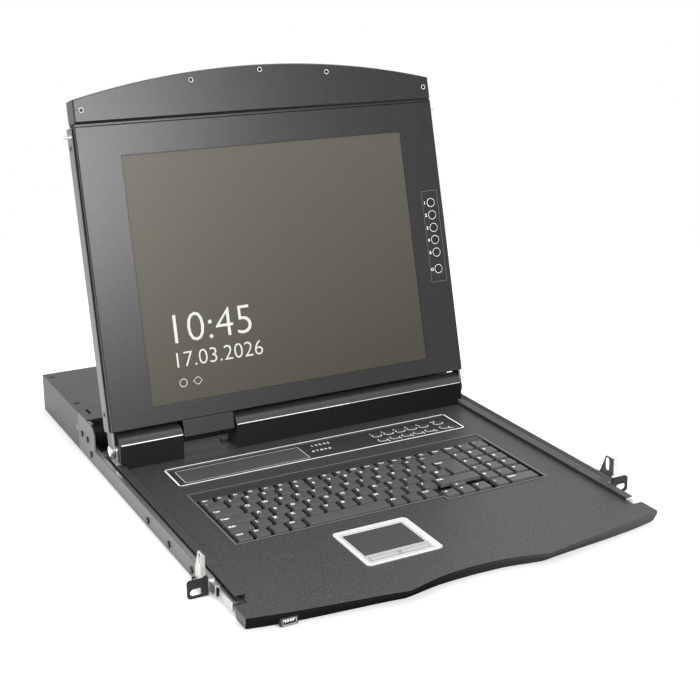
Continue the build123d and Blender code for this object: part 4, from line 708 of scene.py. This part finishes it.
# %% Numbers on the strip
NUMBER, RANGE, NUMBER_ROW = 4.6, 4.2, 6.4
NUMBER_SIDE, NUMBER_BEHIND, NUMBER_BEFORE = 5.5, 6.2, 5.4
RANGE_LEFT, RANGE_RIGHT, RANGE_BEHIND, RANGE_BEFORE = 4.0, 6.0, 6.4, 5.6
REAR_NUMBERS, FRONT_NUMBERS = (5.0, 246.5), (0.0, 231.5)

def number_at(words, size, x, y):
    """Plain type in the middle of a place on the strip."""
    return (type_mesh(words, size), flat_at(x, y, STRIP_TOP))

numbers = []
for i, x in enumerate(columns):
    numbers.append(number_at(str(i + 1), NUMBER, x - NUMBER_SIDE, back_row + NUMBER_BEHIND))
    numbers.append(number_at(str(i + 6), NUMBER, x + NUMBER_SIDE, front_row - NUMBER_BEFORE))
numbers.append(number_at("A-Z", RANGE, mode_column - RANGE_LEFT, back_row + RANGE_BEHIND))
numbers.append(number_at("0-9", RANGE, mode_column + RANGE_RIGHT, front_row - RANGE_BEFORE))
numbers.append(number_at("1 2 3 4 5", NUMBER_ROW, *REAR_NUMBERS))
numbers.append(number_at("6 7 8 9 0", NUMBER_ROW, *FRONT_NUMBERS))
print_marks("strip_numbers", numbers, white_ink, "drawer")

# %% [markdown]
# A fine grey line runs round the keyboard, where its rim meets the deck. The rim steps forward at
# the cursor keys, so the line is a loop of six corners rather than a plain window.

# %% Line round the keyboard
RIM_EDGE, STEP_X, STEP_Y, KEYBOARD_LINE = 0.5, 53.0, 56.7, 0.6
low, high = box_mm("keyboard_frame")
left, right, front, back = low[0] + RIM_EDGE, high[0] - RIM_EDGE, low[1] + RIM_EDGE, high[1] - RIM_EDGE
corners = [(left, STEP_Y), (STEP_X, STEP_Y), (STEP_X, front), (right, front), (right, back), (left, back)]
print_marks("keyboard_line", laid(loop_lines(corners, KEYBOARD_LINE), high[2]), grey_line, "drawer")

# %% [markdown]
# On the lid, marks have to lean with it. The hinge and its travel come from the frame: closed, the
# lid has turned a quarter turn and its lean, so the lean is what is left over. Each mark is built
# flat and stood up with one matrix. Its columns are the mark's own three directions, across, up and
# out of the face, and its place.

# %% Standing marks up on the lid
hinge = next(joint for joint in frame["joints"] if joint["name"] == "lid_hinge")
HINGE, LEAN = Vector(hinge["pos_m"]), radians(-hinge["range_deg"][0] - 90)
LID_ACROSS = Vector((1, 0, 0))
LID_UP = Vector((0, sin(LEAN), cos(LEAN)))
LID_OUT = Vector((0, -cos(LEAN), sin(LEAN)))

def facing(across, up, out, where):
    """A matrix that turns a flat mark to three directions and moves it to a place in metres."""
    return Matrix([(*axis, 0) for axis in (across, up, out)] + [(*where, 1)]).transposed()

def on_lid_face(x, v, w):
    """Stands a mark up at x across, v up the lid from the hinge and w out of it, in millimetres."""
    where = HINGE + (LID_ACROSS * x + LID_UP * v + LID_OUT * (w + INK_HEIGHT)) / 1000
    return facing(LID_ACROSS, LID_UP, LID_OUT, where)

print("hinge at", tuple(HINGE), "lid leans", -hinge["range_deg"][0] - 90, "degrees")

# %% [markdown]
# The screen shows a plain clock, a date in numbers and two simple figures, in thin white type. The
# font is thicker than the screen's, so its outline is drawn in a little. The ring with only two
# steps to each end turns into a diamond.

# %% Picture on the screen
GLASS, THIN = 12.7, 0.8
CLOCK, CLOCK_THINNER, CLOCK_PLACE = 46.5, -0.012, (-145, 103)
DATE, DATE_THINNER, DATE_PLACE = 24.0, -0.010, (-141, 77)
CIRCLE, CIRCLE_PLACE = 7.5, (-131.5, 60)
DIAMOND_LENGTH, DIAMOND_WIDTH, DIAMOND_PLACE = 9.2, 6.6, (-115, 60)
picture = [
    (type_mesh("10:45", CLOCK, False, CLOCK_THINNER), on_lid_face(*CLOCK_PLACE, GLASS)),
    (type_mesh("17.03.2026", DATE, False, DATE_THINNER), on_lid_face(*DATE_PLACE, GLASS)),
    (ring_mesh(CIRCLE, CIRCLE, THIN), on_lid_face(*CIRCLE_PLACE, GLASS)),
    (ring_mesh(DIAMOND_LENGTH, DIAMOND_WIDTH, THIN, steps=2), on_lid_face(*DIAMOND_PLACE, GLASS)),
]
print_marks("screen_picture", picture, glow, "lid")

# %% [markdown]
# The small round buttons beside the screen have bright outlines, a number each, and a fine frame
# round them all. The lowest one is the power button and has a small ring for a number.

# %% Menu buttons beside the screen
STRIP_FACE, FRAME_INSET = 13.5, 2.6
SIDE_NUMBER, SIDE_NUMBER_X, SIDE_RING = 5.0, 190.8, 2.4
BUTTON_ROUND, BUTTON_RING, POWER_V = 9.4, 0.6, 143.8
FRAME_LOW, FRAME_HIGH, FRAME_LINE = 128.8, 237.4, 0.4
button_rows = [163.7, 178.8, 193.4, 208.5, 223.3]
button_x = middle_of("osd_buttons")[0]
lid_rings = [
    (ring_mesh(BUTTON_ROUND, BUTTON_ROUND, BUTTON_RING), on_lid_face(button_x, v, STRIP_FACE))
    for v in button_rows + [POWER_V]
]
print_marks("lid_rings", lid_rings, bright_line, "lid")
low, high = box_mm("osd_strip")
frame_lines = outline(low[0] + FRAME_INSET, high[0] - FRAME_INSET, FRAME_LOW, FRAME_HIGH, FRAME_LINE)
print_marks("lid_frame", [(mesh, on_lid_face(0, 0, STRIP_FACE)) for mesh in frame_lines], dark_line, "lid")
side_numbers = [
    (type_mesh(str(number), SIDE_NUMBER), on_lid_face(SIDE_NUMBER_X, v, STRIP_FACE))
    for number, v in zip((5, 4, 3, 2, 1), button_rows)
]
power_ring = ring_mesh(SIDE_RING, SIDE_RING, BUTTON_RING)
side_numbers.append((power_ring, on_lid_face(SIDE_NUMBER_X, POWER_V, STRIP_FACE)))
print_marks("lid_numbers", side_numbers, white_ink, "lid")

# %% [markdown]
# Five small screws hold the handle bar. Their heads are solids, but what shows in the photo is a thin bright
# rim, and the dark socket in the middle, whose black is painted shade. Both are rings.

# %% Screws of the handle bar
BAR_FACE, HEAD, HEAD_RIM, SOCKET, SOCKET_LINE = 15.7, 4.4, 0.5, 1.4, 1.0
screws = [(206.5, 361), (-206.5, 361), (82, 386), (-82, 386), (0, 393)]
for name, width, line, material in (
    ("bar_screw_rims", HEAD, HEAD_RIM, bright_line),
    ("bar_screw_sockets", SOCKET, SOCKET_LINE, painted_shade_black),
):
    rings = [(ring_mesh(width, width, line), on_lid_face(x, v, BAR_FACE)) for x, v in screws]
    print_marks(name, rings, material, "lid")

# %% [markdown]
# Between the screen's frame and the handle bar the photo shows only a thin dark seam. The bar stands on a
# narrower foot, so two folded edges close the room in front of it and beside it: the frame's own edge in its
# colour, and above it a dark one, a sheet of painted shade that reads as the seam.

# %% Edges that close the gap under the bar
SEAM_LOW, SEAM_HIGH, SEAM_HALF, EDGE_HEIGHT = 344.05, 347.95, 214.4, 2.2
FOOT_HALF, FOOT_BACK, FOOT_FRONT = 205.55, -7.0, 9.05
EDGE_FRONT, SEAM_FRONT = 13.4, 12.0

def box_mesh(x1, x2, y1, y2, z1, z2):
    """A closed box between the given sides."""
    shape = bmesh.new()
    size = Vector((x2 - x1, y2 - y1, z2 - z1)) / 1000
    middle = Vector((x1 + x2, y1 + y2, z1 + z2)) / 2000
    bmesh.ops.create_cube(shape, size=1, matrix=Matrix.Translation(middle) @ Matrix.Diagonal((*size, 1)))
    mesh = bpy.data.meshes.new("box")
    shape.to_mesh(mesh)
    shape.free()
    return mesh

seam_start = SEAM_LOW + EDGE_HEIGHT
edge = box_mesh(-SEAM_HALF, SEAM_HALF, SEAM_LOW, seam_start, FOOT_FRONT, EDGE_FRONT)
# the dark boxes of the seam are painted shade
seam = [box_mesh(-SEAM_HALF, SEAM_HALF, seam_start, SEAM_HIGH, FOOT_FRONT, SEAM_FRONT)]
for x1, x2 in ((-SEAM_HALF, -FOOT_HALF), (FOOT_HALF, SEAM_HALF)):
    seam.append(box_mesh(x1, x2, SEAM_LOW, SEAM_HIGH, FOOT_BACK, FOOT_FRONT))
print_marks("frame_edge", [(edge, on_lid_face(0, 0, 0))], lid_powder, "lid")
print_marks("bar_seam_shade", [(mesh, on_lid_face(0, 0, 0)) for mesh in seam], painted_shade_black, "lid")

# %% [markdown]
# The hinge covers catch a line of light where the upright front meets the round top. The real
# sheet is bent there, and a bend is never quite sharp, so it reflects the lamps as a thin line.
# A narrow strip of white on the bend is a painted highlight, surer than one hoped for from the lamps.
# It gets thinner to the right, where the photo shows the line fading.

# %% Painted highlight on the bend of the hinge covers
BEND_PLACE, BEND_TURN = Vector((0, 0.2821, 0.0403)), radians(60)
BEND_UP = Vector((0, cos(BEND_TURN), sin(BEND_TURN)))
BEND_OUT = Vector((0, -sin(BEND_TURN), cos(BEND_TURN)))
STRONG, CLEAR, FAINT = 1.0, 0.8, 0.45
OUTER_END, INNER_END, FADE_START = 2, 1, 60

def bend_line(x1, x2, width):
    """A strip of painted highlight along the bend at the front of a cover, facing forward and up."""
    where = BEND_PLACE + BEND_OUT * INK_HEIGHT / 1000
    return (line_mesh((x1, 0), (x2, 0), width), facing(Vector((1, 0, 0)), BEND_UP, BEND_OUT, where))

left_start, left_end = [corner[0] for corner in box_mm("hinge_cover_left")]
right_start, right_end = [corner[0] for corner in box_mm("hinge_cover_right")]
bends = [
    bend_line(left_start + OUTER_END, left_end - INNER_END, STRONG),
    bend_line(right_start + INNER_END, FADE_START, CLEAR),
    bend_line(FADE_START, right_end - OUTER_END, FAINT),
]
print_marks("cover_bend_highlights", bends, trim_and_highlight, "drawer")

# %% [markdown]
# Inside the socket on the front edge four bright contacts catch the light. They are only a
# millimetre wide, so four small patches stood up just inside its mouth are enough.

# %% Contacts in the socket
CONTACT_STEPS, CONTACT_DEPTH, CONTACT_SHARE = (-3.5, -1.2, 1.2, 3.5), 0.0006, 0.55
low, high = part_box("usb_port")
middle, height = (low[0] + high[0]) / 2, low[2] + CONTACT_SHARE * (high[2] - low[2])
contact = [(-0.6, -0.8), (0.6, -0.8), (0.6, 0.8), (-0.6, 0.8)]
contacts = []
for step in CONTACT_STEPS:
    where = (middle + step / 1000, low[1] + CONTACT_DEPTH, height)
    contacts.append((patch_mesh(contact), facing((1, 0, 0), (0, 0, 1), (0, -1, 0), where)))
print_marks("usb_contacts", contacts, bright_line, "drawer")

# %% [markdown]
# At the back each port is a metal shell round a dark insert with three rows of five holes. The
# shells are solids, and the insert is a thin face laid on them, facing the rear, with the two
# slanted corners that keep a plug from going in upside down.

# %% Faces of the ports
PORT_HALF, PORT_STEP, PORT_HEIGHT = 15.4, 32.0, 16.0
low, high = box_mm("video_ports")
first, rear = low[0] + PORT_HALF, high[1] + INK_HEIGHT
ports = range(round((high[0] - PORT_HALF - first) / PORT_STEP) + 1)

def at_port(number, x, z, depth):
    """A place on one port's face, turned to the rear, in millimetres."""
    where = Vector((first + PORT_STEP * number - x, rear + depth, PORT_HEIGHT + z)) / 1000
    return facing((-1, 0, 0), (0, 0, 1), (0, 1, 0), where)

insert = [(-5.5, -3.2), (5.5, -3.2), (7.4, -1.4), (7.4, 3.3), (-7.4, 3.3), (-7.4, -1.4)]
inserts = [(patch_mesh(insert), at_port(number, 0, 0, 0)) for number in ports]
print_marks("port_inserts", inserts, port_blue, "chassis")

# %% [markdown]
# The fifteen holes of a port are half a millimetre in radius. Real holes would add thousands of faces for
# something that is a dot at arm's length, so each is a flat disc of eight corners, a hair above the insert,
# in a black that is painted shade. The middle row is shifted by part of a step.

# %% Holes of the ports
HOLE_STEP, HOLE_RADIUS, HOLE_SIDES = 2.1, 0.5, 8
HOLE_ROWS = ((1.8, 0), (0, 0.6), (-1.8, 0))
turns = [2 * pi * i / HOLE_SIDES for i in range(HOLE_SIDES)]
hole = [(HOLE_RADIUS * cos(turn), HOLE_RADIUS * sin(turn)) for turn in turns]
spots = [(shift + HOLE_STEP * i, z) for z, shift in HOLE_ROWS for i in range(-2, 3)]
holes = [(patch_mesh(hole), at_port(number, x, z, INK_HEIGHT)) for number in ports for x, z in spots]
print_marks("port_holes", holes, painted_shade_black, "chassis")

# %% [markdown]
# A product photo has a background of pure white, but white walls all round would light dark paint
# until it looks grey. In a real studio the white is a lit backdrop, set apart from the object. Here
# the room is white only where it is looked at, straight on or in a mirror, and dimmer as a lamp.

# %% White where it is looked at
def looked_at(tree):
    """One where the camera, a mirror or glass looks; nought for light that falls on things."""
    path = shader_node(tree, "LightPath").outputs
    direct = joined(tree, "MAXIMUM", path["Is Camera Ray"], path["Is Glossy Ray"])
    return joined(tree, "MAXIMUM", direct, path["Is Transmission Ray"])

ROOM_LIGHT = 0.45
world = bpy.data.worlds.new("room")
bpy.context.scene.world = world
world.use_nodes = True
tree = world.node_tree
dim = tree.nodes["Background"]
dim.inputs["Color"].default_value = (1, 1, 1, 1)
dim.inputs["Strength"].default_value = ROOM_LIGHT
bright = shader_node(tree, "Background", {"Strength": 1.0})
backdrop = mixed(tree, looked_at(tree), dim.outputs[0], bright.outputs[0])
tree.links.new(backdrop, tree.nodes["World Output"].inputs["Surface"])
print("room lit at", ROOM_LIGHT)

# %% [markdown]
# The floor has to catch a soft shadow near the object and be pure white further out. So it is a
# matt white sheet with a little light of its own, and this fades into plain white light with the
# distance from the middle.

# %% Floor
FLOOR_SIZE, FLOOR_PLACE, FLOOR_LIFT = 30, (0, 0.2, -0.0005), 0.3
WHITE_START, WHITE_END = 0.6, 1.3
bpy.ops.mesh.primitive_plane_add(size=FLOOR_SIZE, location=FLOOR_PLACE)
floor = bpy.context.object
floor.name = "floor"
floor_white = finish_of("floor_white", paint(250, 250, 250), 0.9, gloss=0.1)
floor.data.materials.append(floor_white)
tree = floor_white.node_tree
seen = looked_at(tree)
lift = shader_node(tree, "Math", {1: FLOOR_LIFT}, operation="MULTIPLY")
own_light = shader_node(tree, "Emission")
tree.links.new(seen, lift.inputs[0])
tree.links.new(lift.outputs[0], own_light.inputs["Strength"])
near = shader_node(tree, "AddShader")
tree.links.new(tree.nodes["Principled BSDF"].outputs[0], near.inputs[0])
tree.links.new(own_light.outputs[0], near.inputs[1])
reach = shader_node(tree, "VectorMath", operation="LENGTH")
tree.links.new(shader_node(tree, "TexCoord").outputs["Object"], reach.inputs[0])
fade = rise(tree, reach.outputs["Value"], WHITE_START, WHITE_END, interpolation_type="SMOOTHSTEP")
far = joined(tree, "MULTIPLY", fade, seen)
sheet = mixed(tree, far, near.outputs[0], shader_node(tree, "Emission").outputs[0])
tree.links.new(sheet, tree.nodes["Material Output"].inputs["Surface"])
print("floor laid")

# %% [markdown]
# Product photos are lit by big soft sheets of light, so the object gets long smooth highlights and
# no hard shadows. A large lamp above and behind lights the deck, one at the left lights the rail
# and the lid's side, and a smaller one in front keeps the screen and the front from going dark.

# %% Lamps
def lamp(name, place, target, size, power):
    """A square sheet of light aimed at a point."""
    data = bpy.data.lights.new(name, "AREA")
    data.shape = "SQUARE"
    data.size = size
    data.energy = power
    holder = bpy.data.objects.new(name, data)
    bpy.context.scene.collection.objects.link(holder)
    holder.location = place
    holder.rotation_euler = (Vector(target) - Vector(place)).to_track_quat("-Z", "Y").to_euler()
    print(name, "at", place, "power", power)

lamp("top_sheet", place=(0.2, 0.9, 2.2), target=(0, 0.2, 0.1), size=2.0, power=34)
lamp("left_sheet", place=(-2.1, -0.75, 1.5), target=(0, 0.1, 0.1), size=1.6, power=18)
lamp("front_sheet", place=(0.25, -2.05, 1.15), target=(-0.1, 0.35, 0.25), size=0.75, power=42)

# %% [markdown]
# The camera stands where the photographer stood: to the left of the drawer and a little above it.
# A long lens from about a metre and a half gives the gentle narrowing towards the back, and a
# small shift of the sensor puts the object in the same place in the square picture.

# %% Camera
CAMERA_PLACE = (-0.6075, -1.0536, 0.5810)
YAW, PITCH_DOWN = 0.5158, -0.2373
LENS, SENSOR, SHIFT_X, SHIFT_Y = 70.706, 36, -0.0966, -0.142
camera_data = bpy.data.cameras.new("camera")
camera_data.sensor_width = SENSOR
camera_data.lens = LENS
camera_data.shift_x = SHIFT_X
camera_data.shift_y = SHIFT_Y
camera = bpy.data.objects.new("camera", camera_data)
bpy.context.scene.collection.objects.link(camera)
camera.location = CAMERA_PLACE
view = Vector((sin(YAW) * cos(PITCH_DOWN), cos(YAW) * cos(PITCH_DOWN), sin(PITCH_DOWN)))
camera.rotation_euler = view.to_track_quat("-Z", "Y").to_euler()
bpy.context.scene.camera = camera
bpy.context.scene.view_settings.view_transform = "Standard"
print("camera at", CAMERA_PLACE)
